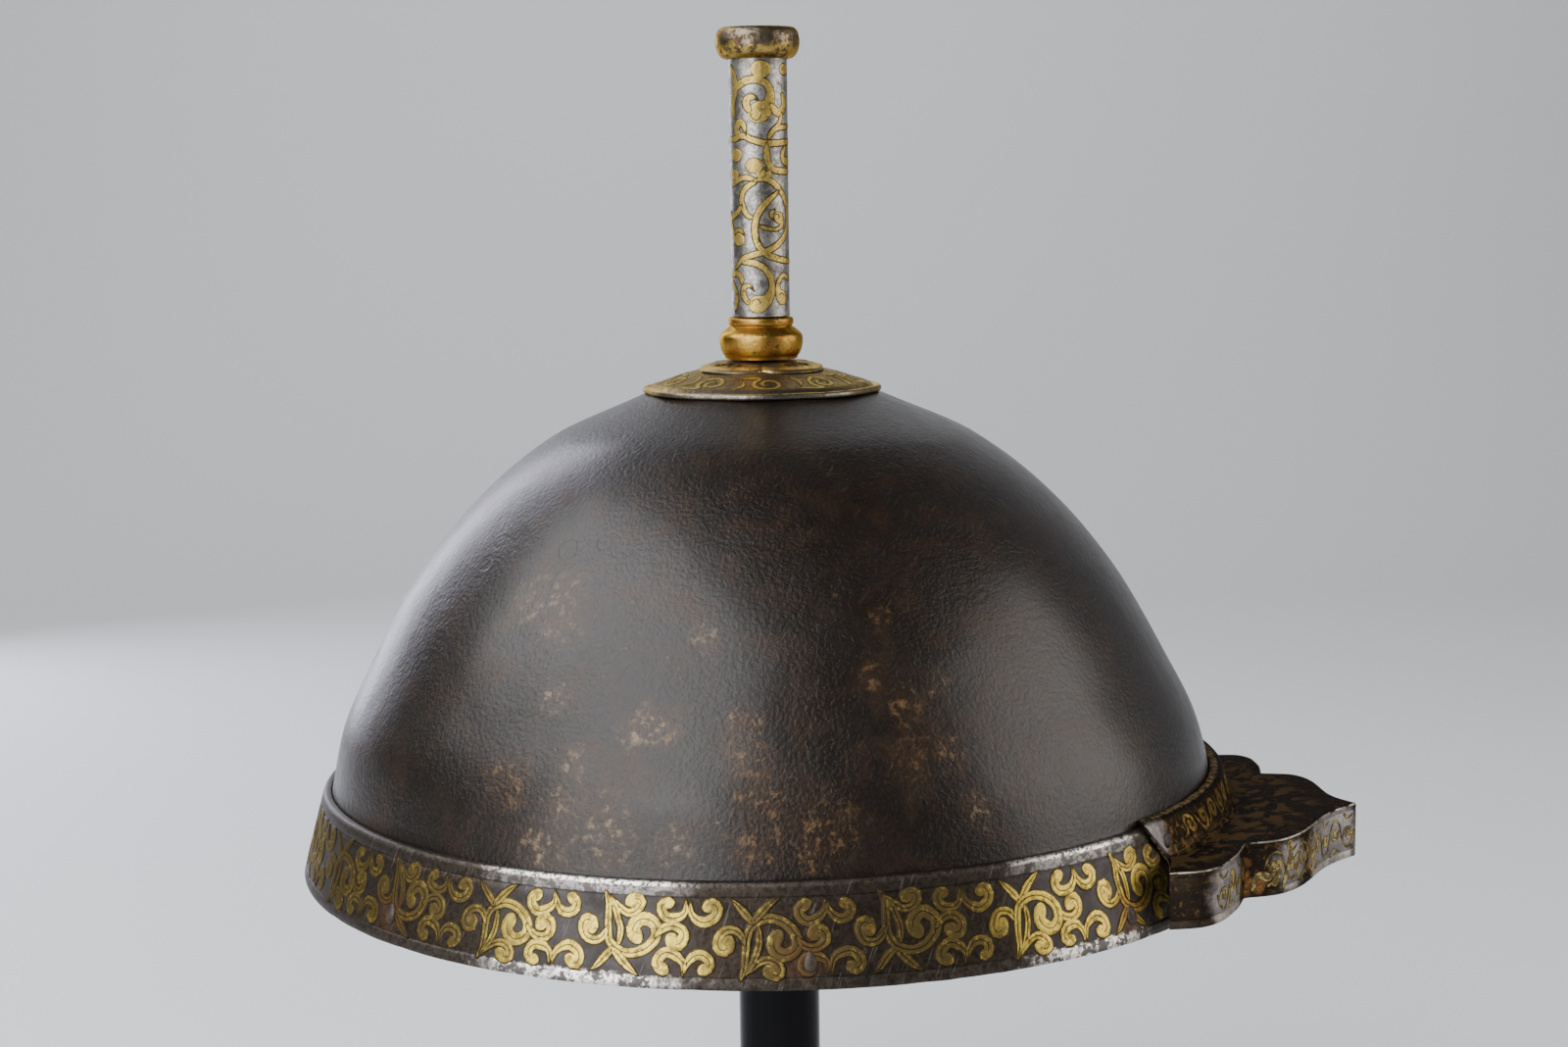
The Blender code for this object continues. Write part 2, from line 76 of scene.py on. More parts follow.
def smooth_step(low, high, value):
    t = min(1.0, max(0.0, (value - low) / (high - low)))
    return t * t * (3.0 - 2.0 * t)


def bump_noise(point, size):
    """Smooth noise from -1 to 1 with features of the given size in millimetres."""
    return noise.noise(point * (1000.0 / size))


print("band", BAND_HEIGHT, "mm high, bowl", BOWL_HEIGHT, "mm")

# %% [markdown]
# The camera
#
# A picture fixes where its camera stood: a near rim looks larger than a far one. The eye is
# 651 mm from the plume tube and 172 mm above the rim, looking 7.6 degrees down, a little to
# the right of the tube and past the wearer's right side.

# %% Camera
VIEW_ANGLE = math.radians(-76.1)
EYE_DISTANCE = 651.4
EYE_HEIGHT = 172.1
LOOK_DOWN = 0.133
LOOK_RIGHT = 0.008
ROLL = 0.012
LENS = 58.94


def direction(angle):
    return Vector((math.sin(angle), -math.cos(angle), 0.0))


def aim_camera():
    ahead = -direction(VIEW_ANGLE)
    right = Vector((math.cos(VIEW_ANGLE), math.sin(VIEW_ANGLE), 0.0))
    forward = ahead * math.cos(LOOK_RIGHT) + right * math.sin(LOOK_RIGHT)
    side = right * math.cos(LOOK_RIGHT) - ahead * math.sin(LOOK_RIGHT)
    look = forward * math.cos(LOOK_DOWN) - Vector((0.0, 0.0, math.sin(LOOK_DOWN)))
    turn = Matrix((side, side.cross(look), -look)).transposed()
    camera = bpy.data.objects.new("camera", bpy.data.cameras.new("camera"))
    bpy.context.scene.collection.objects.link(camera)
    eye = on_helmet(VIEW_ANGLE, EYE_DISTANCE, EYE_HEIGHT)
    roll = Matrix.Rotation(-ROLL, 3, "Z")
    camera.matrix_world = Matrix.Translation(eye) @ (turn @ roll).to_4x4()
    camera.data.sensor_width = 36.0
    camera.data.lens = LENS
    camera.data.clip_start = 0.01
    bpy.context.scene.camera = camera
    return camera


camera = aim_camera()
print("camera at", [round(v, 3) for v in camera.location])

# %% [markdown]
# Small tools for shader nodes
#
# Each finish is built from the same few steps: add a node, do a sum, mix two colours, turn a
# range of values into a soft mask. A Value stands for the result of a node, and the signs of
# arithmetic work on it, so a mask is written as one would write it on paper.

# %% Node helpers
class Value:
    """The result of a node. The usual signs add Math nodes to its tree."""

    def __init__(self, socket):
        self.socket = socket
        self.tree = socket.id_data

    def combine(self, operation, other, clamp=False, swap=False):
        pair = (other, self) if swap else (self, other)
        return add(self.tree, "ShaderNodeMath", dict(enumerate(pair)), operation=operation,
                   use_clamp=clamp)

    def __add__(self, other):
        return self.combine("ADD", other)

    def __sub__(self, other):
        return self.combine("SUBTRACT", other)

    def __rsub__(self, other):
        return self.combine("SUBTRACT", other, swap=True)

    def __mul__(self, other):
        return self.combine("MULTIPLY", other)

    def __rtruediv__(self, other):
        return self.combine("DIVIDE", other, swap=True)

    __radd__ = __add__
    __rmul__ = __mul__


def plug(socket, value):
    """Give a socket a number, a colour or the result of another node."""
    if isinstance(value, Value):
        socket.id_data.links.new(value.socket, socket)
    elif socket.type == "RGBA":
        socket.default_value = (*value, 1.0)
    else:
        socket.default_value = value


def add(tree, kind, inputs, result=0, **settings):
    """Add a node and return one of its results."""
    node = tree.nodes.new(kind)
    for name, value in settings.items():
        setattr(node, name, value)
    for name, value in inputs.items():
        plug(node.inputs[name], value)
    return Value(node.outputs[result])


def ramp(value, low, high):
    return add(value.tree, "ShaderNodeMapRange", {"Value": value, "From Min": low, "From Max": high},
               interpolation_type="SMOOTHSTEP")


def mix(mask, a, b):
    """Two colours: a where the mask is 0, b where it is 1."""
    return add(mask.tree, "ShaderNodeMix", {0: mask, 6: a, 7: b}, 2, data_type="RGBA")


def strongest(masks):
    total = masks[0]
    for mask in masks[1:]:
        total = total.combine("MAXIMUM", mask)
    return total


def new_group(name, **defaults):
    """A shader node group with one result: its tree, its inputs and the socket of the result."""
    tree = bpy.data.node_groups.new(name, "ShaderNodeTree")
    for label, default in defaults.items():
        kind = "NodeSocketVector" if isinstance(default, tuple) else "NodeSocketFloat"
        tree.interface.new_socket(label, in_out="INPUT", socket_type=kind).default_value = default
    tree.interface.new_socket("Result", in_out="OUTPUT", socket_type="NodeSocketFloat")
    given = [Value(s) for s in tree.nodes.new("NodeGroupInput").outputs][:len(defaults)]
    return tree, given, tree.nodes.new("NodeGroupOutput").inputs[0]


print("node helpers ready")

# %% [markdown]
# Effects that several finishes share
#
# Old metal changes at many scales. Speckle gives ragged spots of one size, a patch puts a stain
# at a place, the forged height is the skin that raising and rust leave, and the strip marks a
# worn border. Each is one node group with its own values in each material.

# %% Shared effect groups
def object_place(tree):
    return Value(tree.nodes.new("ShaderNodeTexCoord").outputs["Object"])


def grain(place, scale, detail, rough=0.5, seed=None):
    """Noise from 0 to 1. The scale is features per metre."""
    inputs = {"Vector": place, "Scale": scale, "Detail": detail, "Roughness": rough}
    if seed is None:
        return add(place.tree, "ShaderNodeTexNoise", inputs)
    return add(place.tree, "ShaderNodeTexNoise", {**inputs, "W": seed}, noise_dimensions="4D")


def make_speckle():
    """Ragged spots. Size in mm; Cover is the share of the surface, Edge the softness."""
    tree, (size, cover, edge, seed), result = new_group(
        "ragged speckle", Size=2.0, Cover=0.5, Edge=0.05, Seed=0.0)
    field = grain(object_place(tree), 1000.0 / size, 4.0, 0.62, seed=seed)
    level = 0.78 - cover * 0.56
    plug(result, ramp(field, level - edge, level + edge))
    return tree


def make_patch():
    """A ragged stain round a point. Radius and Edge in mm."""
    tree, (centre, radius, edge, ragged), result = new_group(
        "stain at a place", Centre=(0.0, 0.0, 0.0), Radius=10.0, Edge=5.0, Ragged=0.4)
    place = object_place(tree)
    far = add(tree, "ShaderNodeVectorMath", {0: place, 1: centre}, 1, operation="DISTANCE")
    push = (grain(place, 330.0, 5.0, 0.65) - 0.5) * ragged * (radius + edge)
    plug(result, 1.0 - ramp(far * 1000.0 + push * 3.0, radius - edge, radius + edge))
    return tree


def make_forged():
    """Height of forged, lightly rusted iron: fine grain, pits and shallow hammer dents."""
    tree, (fine, dents, share), result = new_group("forged skin", Grain=0.7, Dents=7.0, Share=0.4)
    place = object_place(tree)
    plug(result, grain(place, 1000.0 / fine, 3.0, 0.6) + grain(place, 1000.0 / dents, 2.0) * share)
    return tree


def make_strip():
    """A ragged strip where a coordinate passes an edge, such as a worn lip."""
    tree, (along, low, high, soft, ragged, size), result = new_group(
        "worn strip", Along=0.0, From=0.0, To=1.0, Soft=0.03, Ragged=0.08, Size=1.2)
    along = along + (grain(object_place(tree), 1000.0 / size, 4.0, 0.65) - 0.5) * ragged
    rise = ramp(along, low - soft, low + soft)
    fall = ramp(along, high - soft, high + soft)
    plug(result, rise.combine("SUBTRACT", fall, clamp=True))
    return tree


def make_scratches():
    """Thin scratches: noise stretched along a tilted direction. Width and Length in mm."""
    tree, (tilt, width, length, cover, seed), result = new_group(
        "scratches", Tilt=0.4, Width=0.25, Length=9.0, Cover=0.1, Seed=0.0)
    turned = add(tree, "ShaderNodeVectorRotate",
                 {"Vector": object_place(tree), "Axis": (0.97, 0.24, 0.0), "Angle": tilt})
    long = 1000.0 / length
    squeeze = add(tree, "ShaderNodeCombineXYZ", {0: long, 1: long, 2: 1000.0 / width})
    place = add(tree, "ShaderNodeVectorMath", {0: turned, 1: squeeze}, operation="MULTIPLY")
    level = 0.8 - cover * 0.5
    plug(result, ramp(grain(place, 1.0, 1.0, seed=seed), level, level + 0.06))
    return tree


SPECKLE = make_speckle()
PATCH = make_patch()
FORGED = make_forged()
STRIP = make_strip()
SCRATCHES = make_scratches()
print("groups:", [g.name for g in bpy.data.node_groups])

# %% [markdown]
# A finish
#
# Every metal here is painted the same way: start from a base colour, lay thinner and thinner
# layers over it through masks, and close with a roughness and a small bump. The values of an
# effect are given in the order of its inputs above.

# %% A finish and its layers
class Finish:
    """A material in the making."""

    def __init__(self, name, metallic, colour, coat=0.0, coat_roughness=0.2, specular=0.5,
                 tint=(1.0, 1.0, 1.0)):
        self.material = bpy.data.materials.new(name)
        self.material.use_nodes = True
        self.tree = self.material.node_tree
        self.shader = self.tree.nodes["Principled BSDF"].inputs
        self.colour = colour
        for label, value in (("Metallic", metallic), ("Coat Weight", coat),
                             ("Coat Roughness", coat_roughness), ("Specular IOR Level", specular),
                             ("Specular Tint", tint)):
            plug(self.shader[label], value)

    def effect(self, group, *values):
        return add(self.tree, "ShaderNodeGroup", dict(enumerate(values)), node_tree=group)

    def uv(self, name):
        uv = add(self.tree, "ShaderNodeUVMap", {}, uv_map=name)
        parts = add(self.tree, "ShaderNodeSeparateXYZ", {0: uv})
        return [Value(socket) for socket in parts.socket.node.outputs][:2]

    def stains(self, spots, ragged):
        """Stains at (place, radius, edge)."""
        return strongest([self.effect(PATCH, *spot, ragged) for spot in spots])

    def lay(self, mask, colour):
        self.colour = mix(mask, self.colour, colour)

    def surface(self, rough, height, strength, depth):
        """Close the finish. The bump is up to depth mm deep."""
        bump = add(self.tree, "ShaderNodeBump",
                   {"Height": height, "Strength": strength, "Distance": depth * MM})
        for label, value in (("Base Color", self.colour), ("Roughness", rough), ("Normal", bump)):
            plug(self.shader[label], value)
        print("made", self.material.name)
        return self.material


def mm_point(angle_deg, radius, height):
    return tuple(on_helmet(math.radians(angle_deg), radius, height))


# %% [markdown]
# The line of the bowl
#
# The bowl's outside is measured as a share of its height and of its foot radius. A monotone
# curve runs through those points, so the line never bulges between them, and both the finish and
# the mesh of the bowl ask it where the iron is.

# %% The bowl's line
BOWL_WALL = 1.8
BOWL_CURVE = [
    (0.000, 1.000), (0.056, 0.990), (0.125, 0.974), (0.290, 0.902), (0.478, 0.805),
    (0.665, 0.669), (0.832, 0.484), (0.921, 0.304), (0.962, 0.213), (0.988, 0.133),
    (0.998, 0.062), (1.000, 0.000),
]


def band_radius(height):
    return BAND_FOOT_RADIUS - BAND_FLARE * height


def monotone(rows, at):
    """Smooth value at a position between rows, without overshoot."""
    i = 0
    while i < len(rows) - 2 and at > rows[i + 1][0]:
        i += 1
    slopes = []
    for k in (i, i + 1):
        near = [(rows[m + 1][1] - rows[m][1]) / (rows[m + 1][0] - rows[m][0])
                for m in (k - 1, k) if 0 <= m < len(rows) - 1]
        if len(near) == 1:
            slopes.append(near[0])
        elif near[0] * near[1] <= 0:
            slopes.append(0.0)
        else:
            slopes.append(2 * near[0] * near[1] / (near[0] + near[1]))
    step = rows[i + 1][0] - rows[i][0]
    t = (at - rows[i][0]) / step
    return ((2 * t ** 3 - 3 * t ** 2 + 1) * rows[i][1] + (t ** 3 - 2 * t ** 2 + t) * slopes[0] * step
            + (3 * t ** 2 - 2 * t ** 3) * rows[i + 1][1] + (t ** 3 - t ** 2) * slopes[1] * step)


BOWL_START = BAND_HEIGHT + FRONT_RISE
BOWL_START_RADIUS = band_radius(BOWL_START) - BAND_WALL - GAP
BOWL_ROWS = [(BOWL_START + up * (BOWL_HEIGHT - BOWL_START), out * BOWL_START_RADIUS)
             for up, out in BOWL_CURVE]


print("bowl starts", BOWL_START, "mm up, radius", round(BOWL_START_RADIUS, 1))

# %% [markdown]
# Russet iron of the bowl
#
# The bowl was browned and oiled: nearly black, with a red-brown cast, golden rust flecks low on
# the side and pale flake scars. The colour is dark so that only the lamps show in it, and the
# grain is bump, because it is finer than any mesh should carry.

# %% Russet iron
PALE_PLACES = ((-114, 77, 5.0), (-109, 79, 4.0), (-107, 73, 4.0), (-105, 58, 3.0), (-84.5, 71.5, 2.6),
               (-100, 44, 3.0), (-100, 36, 5.0), (-95, 31, 6.0), (-103, 27, 5.0), (-87, 29, 3.5),
               (-92, 53, 4.0), (-51, 34, 3.6))
GOLDEN_PLACES = ((-79, 54, 3.5), (-78, 47, 4.5), (-77, 39, 5.0), (-77, 31, 5.5), (-59, 75, 2.5),
                 (-62, 63, 2.5), (-58, 56, 4.0), (-59, 46, 4.5), (-53, 60, 3.0), (-54, 47, 4.0),
                 (-69, 32, 6.0), (-71, 28, 4.0), (-109, 40, 5.0), (-89, 52, 3.0))
FLAKE_PLACES = ((-112, 88, 2.6), (-105, 90, 2.0), (-130, 83, 2.4))


def bowl_stains(iron, places, edge=0.9):
    """Stains on the bowl's outside, given as (degrees, mm up, radius)."""
    return iron.stains([(mm_point(angle, monotone(BOWL_ROWS, up), up), radius, edge * radius)
                        for angle, up, radius in places], 0.35)


def make_russet_iron():
    iron = Finish("russet iron", 0.35, (0.0095, 0.0065, 0.0043), coat=0.30, coat_roughness=0.25,
                  tint=(0.42, 0.42, 0.44))
    brown = iron.effect(SPECKLE, 8.0, 0.40, 0.10, 2.0)
    fine = 0.35 + iron.effect(SPECKLE, 0.7, 0.5, 0.16, 7.0) * 0.65
    iron.lay(iron.effect(SPECKLE, 26.0, 0.5, 0.16, 1.0), (0.0135, 0.010, 0.0078))
    iron.lay(brown * 0.5, (0.027, 0.0125, 0.0055))
    iron.lay(iron.effect(SPECKLE, 1.1, 0.40, 0.06, 3.0) * 0.35, (0.005, 0.0035, 0.0025))
    pale = bowl_stains(iron, PALE_PLACES)
    golden = bowl_stains(iron, GOLDEN_PLACES)
    stain = strongest([pale, golden])
    iron.lay(stain * (fine * 0.40), (0.046, 0.023, 0.010))
    rust = iron.effect(SPECKLE, 2.1, 0.36, 0.08, 5.0) * fine
    stray = iron.effect(SPECKLE, 2.0, 0.19, 0.04, 6.0) * fine
    side = iron.effect(PATCH, mm_point(-86.0, 96.0, 50.0), 50.0, 26.0, 0.1)
    iron.lay(stray * side * 0.5, (0.15, 0.085, 0.040))
    iron.lay(rust * golden * 0.75, (0.15, 0.085, 0.034))
    iron.lay(rust * pale * 0.70, (0.22, 0.150, 0.085))
    lines = iron.effect(SCRATCHES, 0.9, 0.22, 7.0, 0.22, 4.0)
    iron.lay(lines * 0.25, (0.060, 0.054, 0.050))
    flakes = bowl_stains(iron, FLAKE_PLACES, 0.1)
    height = iron.effect(FORGED, 1.0, 7.0, 0.8)
    height = height + rust * stain * 0.15 - lines * 0.2 - flakes * 0.6
    return iron.surface(0.31 + brown * 0.06 + rust * stain * 0.12, height, 1.0, 0.32)


RUSSET_IRON = make_russet_iron()

# %% [markdown]
# Turned and wrapped skins
#
# The bowl, band, tube and stand are all rings of points joined by faces. The skin takes a
# profile, a function that places each point, and writes a UV map whose v runs up the profile,
# so that borders and strips can be painted by height.

# %% Mesh helpers
def make_piece(name, node, mesh, material, slot, sharp=38.0):
    """Add one piece to the helmet. node is the solid whose place it takes, if any."""
    mesh.shade_smooth()
    mesh.set_sharp_from_angle(angle=math.radians(sharp))
    mesh.materials.append(material)
    piece = bpy.data.objects.new(name, mesh)
    bpy.context.scene.collection.objects.link(piece)
    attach(piece, "root")
    if node:
        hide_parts(node)
    print(name, len(mesh.polygons), "faces")


def add_face(bm, layer, corners):
    """A face from corners of (vertex, uv)."""
    face = bm.faces.new([vert for vert, _ in corners])
    for loop, (_, uv) in zip(face.loops, corners):
        loop[layer].uv = uv


def skin_mesh(name, rings, marks, closed=False, wrap=True):
    """Join rings of equal length. marks holds v for each ring; u runs round the ring.

    closed joins the last ring to the first. Without wrap the rings are open lines and their
    ends are capped.
    """
    mesh = bpy.data.meshes.new(name)
    bm = bmesh.new()
    layer = bm.loops.layers.uv.new("skin")
    rows = [[bm.verts.new(p) for p in ring] for ring in rings]
    count = max(len(ring) for ring in rings)
    pairs = [(k, k + 1) for k in range(len(rows) - 1)] + [(len(rows) - 1, 0)] * closed
    for k, m in pairs:
        for i in range(count if wrap else count - 1):
            corners = []
            for row, index, mark in ((rows[k], i, marks[k]), (rows[m], i, marks[m]),
                                     (rows[m], i + 1, marks[m]), (rows[k], i + 1, marks[k])):
                vert = row[0] if len(row) == 1 else row[index % count]
                if not any(vert is other for other, _ in corners):
                    corners.append((vert, (index / count, mark)))
            add_face(bm, layer, corners)
    if not wrap:
        for index in (0, -1):
            add_face(bm, layer, [(row[index], (0.0, mark)) for row, mark in zip(rows, marks)])
    bmesh.ops.recalc_face_normals(bm, faces=bm.faces)
    bm.to_mesh(mesh)
    bm.free()
    return mesh


def turned(name, node, rows, segments, place, material, slot, sharp=38.0, closed=False,
           marks=None):
    """Spin a profile of (height, radius) into a piece. place puts each point on the helmet."""
    rings = [[place(2.0 * math.pi * k / segments, radius, height)
              for k in range(segments if radius > 1e-6 else 1)] for height, radius in rows]
    marks = marks or [k / (len(rows) - 1) for k in range(len(rows))]
    make_piece(name, node, skin_mesh(name, rings, marks, closed), material, slot, sharp)


def refine(rows, steps):
    """Points on a smooth line (Catmull-Rom) through rows of numbers."""
    line = []
    for i in range(len(rows) - 1):
        p0 = Vector(rows[max(i - 1, 0)])
        p1 = Vector(rows[i])
        p2 = Vector(rows[i + 1])
        p3 = Vector(rows[min(i + 2, len(rows) - 1)])
        for k in range(steps):
            t = k / steps
            line.append(0.5 * (2 * p1 + (p2 - p0) * t + (2 * p0 - 5 * p1 + 4 * p2 - p3) * t * t
                               + (3 * p1 - p0 - 3 * p2 + p3) * t ** 3))
    line.append(Vector(rows[-1]))
    return line


# %% [markdown]
# The bowl
#
# One sheet of iron, raised by hammer, so its curve is never quite even. The outside follows the
# measured profile, the inside is the same line set in by the wall, and soft noise of a quarter
# of a millimetre stands for the hammer work. It fades out where band and plate sit.

# %% Bowl
def bowl_shift(height):
    fade = 1.0 - (height - BAND_HEIGHT) / (0.92 * (BOWL_HEIGHT - BAND_HEIGHT))
    return FORWARD * max(0.0, min(1.0, fade))


def bowl_place(angle, radius, height):
    point = on_helmet(angle, radius, height, bowl_shift(height))
    free = smooth_step(26.0, 40.0, height) * (1.0 - smooth_step(108.0, 116.0, height))
    wave = 0.26 * bump_noise(point, 34.0) + 0.07 * bump_noise(point, 9.0)
    return on_helmet(angle, radius + wave * free, height, bowl_shift(height))


def bowl_profile():
    outside = [(1.0, band_radius(1.0) - BAND_WALL - GAP), BOWL_ROWS[0]]
    count = 84
    for k in range(1, count):
        share = math.sin(0.5 * math.pi * k / count)
        height = BOWL_START + share * (BOWL_HEIGHT - BOWL_START)
        outside.append((height, monotone(BOWL_ROWS, height)))
    outside.append(BOWL_ROWS[-1])
    inside = []
    for i, (height, radius) in enumerate(outside):
        before = outside[max(i - 1, 0)]
        after = outside[min(i + 1, len(outside) - 1)]
        along = Vector((after[1] - before[1], after[0] - before[0])).normalized()
        inside.append((height + along.x * BOWL_WALL, radius - along.y * BOWL_WALL))
    inside[0] = (outside[0][0], outside[0][1] - BOWL_WALL)
    inside[-1] = (outside[-1][0] - BOWL_WALL, 0.0)
    return outside, inside


outside, inside = bowl_profile()
turned("bowl_skin", "bowl", outside[::-1] + inside, 224, bowl_place, RUSSET_IRON, "russet_iron")

# %% [markdown]
# Worn silvered iron of the band
#
# The band's iron was hatched and covered with silver, which has worn away in patches down to
# black-brown iron. The two plain lips, where hands and cloth rub, keep the most silver. Silver,
# lips and foot are painted light only where the lamps reflect in the band: painted highlight.
# The skin's v coordinate says how high a place is, and ragged strips along it paint the lips.
# Round each rivet the iron has rusted.

# %% Silvered iron
# Degrees from the peak and mm up
RIVET_FACE = 118.6
RIVETS = ((-124.0, 6.2), (-72.5, 5.55), (-33.0, 5.55), (33.0, 5.55), (72.5, 5.55), (124.0, 6.2),
          (180.0, 6.2))
# Degrees, radius and soft edge of the lamp reflections halfway up the band: painted highlight
BAND_FACE = 117.0
HALFWAY = 11.0
SILVER_HIGHLIGHT_PLACES = ((-97.0, 22.0, 9.0), (-39.0, 18.0, 7.0), (35.0, 24.0, 12.0), (98.0, 26.0, 12.0),
                 (160.0, 26.0, 12.0))


def painted_light_zones(finish, places):
    return finish.stains([(mm_point(angle, BAND_FACE, HALFWAY), radius, edge)
                          for angle, radius, edge in places], 0.25)


def rivet_stains(finish, up, radius, edge):
    return finish.stains([(mm_point(angle, RIVET_FACE, rivet_up + up), radius, edge)
                          for angle, rivet_up in RIVETS], 0.35)


def make_silvered_iron():
    iron = Finish("silvered iron, worn, with painted highlights", 0.85, (0.016, 0.012, 0.009), specular=0.3)
    up = iron.uv("skin")[1]
    # Painted highlight: the silver ground is painted lighter inside the lamp zones.
    painted_highlight_zone = painted_light_zones(iron, SILVER_HIGHLIGHT_PLACES)
    mottle = iron.effect(SPECKLE, 7.0, 0.62, 0.16, 12.0)
    fine = iron.effect(SPECKLE, 0.9, 0.5, 0.12, 13.0)
    iron.lay(fine, (0.036, 0.026, 0.018))
    iron.lay(painted_highlight_zone, mix(mottle, (0.025, 0.022, 0.021), (0.054, 0.049, 0.049)))
    iron.lay(fine * 0.35, (0.03, 0.022, 0.017))
    lines = iron.effect(SCRATCHES, 1.2, 0.3, 8.0, 0.3, 14.0)
    iron.lay(lines * 0.3, (0.22, 0.20, 0.19))
    lip = iron.effect(STRIP, up, 0.868, 1.10, 0.012, 0.05, 2.5)
    crest = iron.effect(STRIP, up, 0.955, 1.00, 0.012, 0.05, 1.5)
    foot = iron.effect(STRIP, up, -0.05, 0.125, 0.02, 0.14, 2.5)
    sparkle = iron.effect(SPECKLE, 0.7, 0.55, 0.03, 15.0)
    foil = iron.effect(SPECKLE, 2.2, 0.55, 0.025, 16.0) * (0.25 + sparkle * 0.75)
    # Painted highlight: lips, foot and the worn silver foil are painted light only inside the lamp
    # zones.
    painted_highlight_share = 0.03 + painted_highlight_zone * 0.97
    iron.lay(strongest([lip, foot]) * (painted_highlight_share * 0.8), (0.095, 0.085, 0.080))
    bright = strongest([foot * foil * 0.85, crest * sparkle, lip * 0.25 * foil]) * painted_highlight_share
    iron.lay(bright, (0.74, 0.69, 0.63))
    iron.lay(rivet_stains(iron, 0.0, 3.4, 2.4) * (0.45 + fine * 0.5), (0.085, 0.040, 0.024))
    height = iron.effect(FORGED, 0.55, 3.0, 0.7) - lines * 0.3
    return iron.surface(0.50 - bright * 0.16, height, 0.6, 0.10)


SILVERED_IRON = make_silvered_iron()

# %% [markdown]
# The brow band
#
# A flared strip of iron round the foot of the bowl. Its section is a thin wall with a rolled
# upper lip and a rougher lower lip, each parted from the ornament by an engraved line. The
# section is turned into rings like the bowl, with close rows only where the lines are cut. The
# lower edge is a little uneven, as filed iron is.

# %% Brow band
BAND_BEND = 0.18 * BAND_HEIGHT
LINE_LOW = 2.7
LINE_HIGH = 19.0
LINE_CUT = 0.22
FIELD_MIDDLE = 10.95


def band_place(angle, radius, height, lift=0.0):
    share = max(0.0, height - BAND_BEND) / (BAND_HEIGHT - BAND_BEND)
    rise = FRONT_RISE * math.cos(angle) * share
    return on_helmet(angle, radius - BAND_FLARE * rise + lift, height + rise + BAND_FLARE * lift,
                     FORWARD)


def uneven_band(angle, radius, height):
    point = band_place(angle, radius, height)
    edge = 1.0 - smooth_step(0.0, 2.4, height)
    wave = 0.16 * bump_noise(point, 7.0) + 0.10 * bump_noise(point, 2.6)
    dent = 0.05 * bump_noise(point, 5.0)
    return band_place(angle, radius + dent, height + max(-0.02, wave) * edge * 0.9)


def groove(height):
    return [(height - 0.22, 0.0), (height - 0.08, -LINE_CUT), (height + 0.08, -LINE_CUT),
            (height + 0.22, 0.0)]


def band_profile():
    rows = [(0.0, -0.6), (0.12, -0.2), (0.45, 0.0), (1.2, 0.03), (2.1, 0.02)]
    rows += groove(LINE_LOW) + [(4.0, 0.0), (6.5, 0.0), (10.0, 0.0), (14.0, 0.0), (17.5, 0.0)]
    rows += groove(LINE_HIGH) + [(19.9, 0.10), (20.8, 0.16), (21.5, 0.08), (21.95, -0.12),
                                 (22.2, -0.5)]
    profile = [(h, band_radius(h) + off) for h, off in rows]
    marks = [h / BAND_HEIGHT for h, _ in rows]
    for h in (22.2, 20.5, 12.0, 4.0, 0.0):
        profile.append((h, band_radius(h) - BAND_WALL))
        marks.append(-0.3)
    return profile, marks


profile, marks = band_profile()
turned("band_skin", "brow_band", profile, 300, uneven_band, SILVERED_IRON, "damascened_iron",
       50.0, closed=True, marks=marks)

# %% [markdown]
# Gold inlay as real strokes
#
# The scrolls are gold laid on hatched iron, each with an engraved outline and an engraved line
# along its middle. A flat texture would lose those cuts, so every stroke is a thin ribbon: a
# smooth line through a few given points, swept with a section that is high beside the
# middle and low at the middle and edges. Two distances go into the UV map, from the edge and
# from the middle line, and the finish darkens where either is small.

# %% Stroke builder
STEM = ((0.0, 0.62), (0.12, 0.95), (0.6, 1.0), (0.9, 0.92), (1.0, 0.6))
COMMA = ((0.0, 0.5), (0.12, 0.85), (0.5, 1.0), (0.8, 1.28), (1.0, 1.5))
CLOUD = ((0.0, 0.3), (0.12, 0.75), (0.4, 1.2), (0.75, 1.3), (1.0, 1.42))
LEAF = ((0.0, 0.9), (0.3, 1.05), (0.7, 0.8), (1.0, 0.25))
DISC = ((0.0, 1.0), (1.0, 1.0))
BULB = ((0.0, 0.30), (0.10, 0.42), (0.62, 0.40), (0.82, 0.62), (0.94, 0.95), (1.0, 1.0))


def along_rows(rows, at):
    for (a, low), (b, high) in zip(rows, rows[1:]):
        if at <= b:
            return low + (high - low) * (at - a) / (b - a)
    return rows[-1][1]


def even_line(points, step):
    """The smooth line through the points, cut into even steps."""
    dense = refine(points, 14)
    lengths = [0.0]
    for a, b in zip(dense, dense[1:]):
        lengths.append(lengths[-1] + (b - a).length)
    count = max(4, round(lengths[-1] / step))
    line = []
    k = 0
    for i in range(count + 1):
        at = lengths[-1] * i / count
        while k < len(dense) - 2 and lengths[k + 1] < at:
            k += 1
        t = (at - lengths[k]) / max(1e-9, lengths[k + 1] - lengths[k])
        line.append(dense[k].lerp(dense[k + 1], min(1.0, t)))
    return line, lengths[-1]


STROKE_STEP = 0.85


def stroke_rings(points, half, shape):
    """Rings of (point, sideways, half width, distance to the nearer end), with round ends."""
    line, length = even_line(points, STROKE_STEP)
    last = len(line) - 1
    rings = []
    caps = []
    for i, point in enumerate(line):
        along = (line[min(i + 1, last)] - line[max(i - 1, 0)]).normalized()
        side = Vector((-along.y, along.x))
        wide = half * along_rows(shape, i / last)
        rings.append((point, side, wide, min(i, last - i) / last * length))
        if i in (0, last):
            outward = along * (wide if i else -wide)
            caps.append([(point + outward * math.sin(math.radians(turn)), side,
                          wide * math.cos(math.radians(turn)),
                          -wide * math.sin(math.radians(turn))) for turn in (25, 50, 72, 88)])
    return caps[0][::-1] + rings + caps[1]


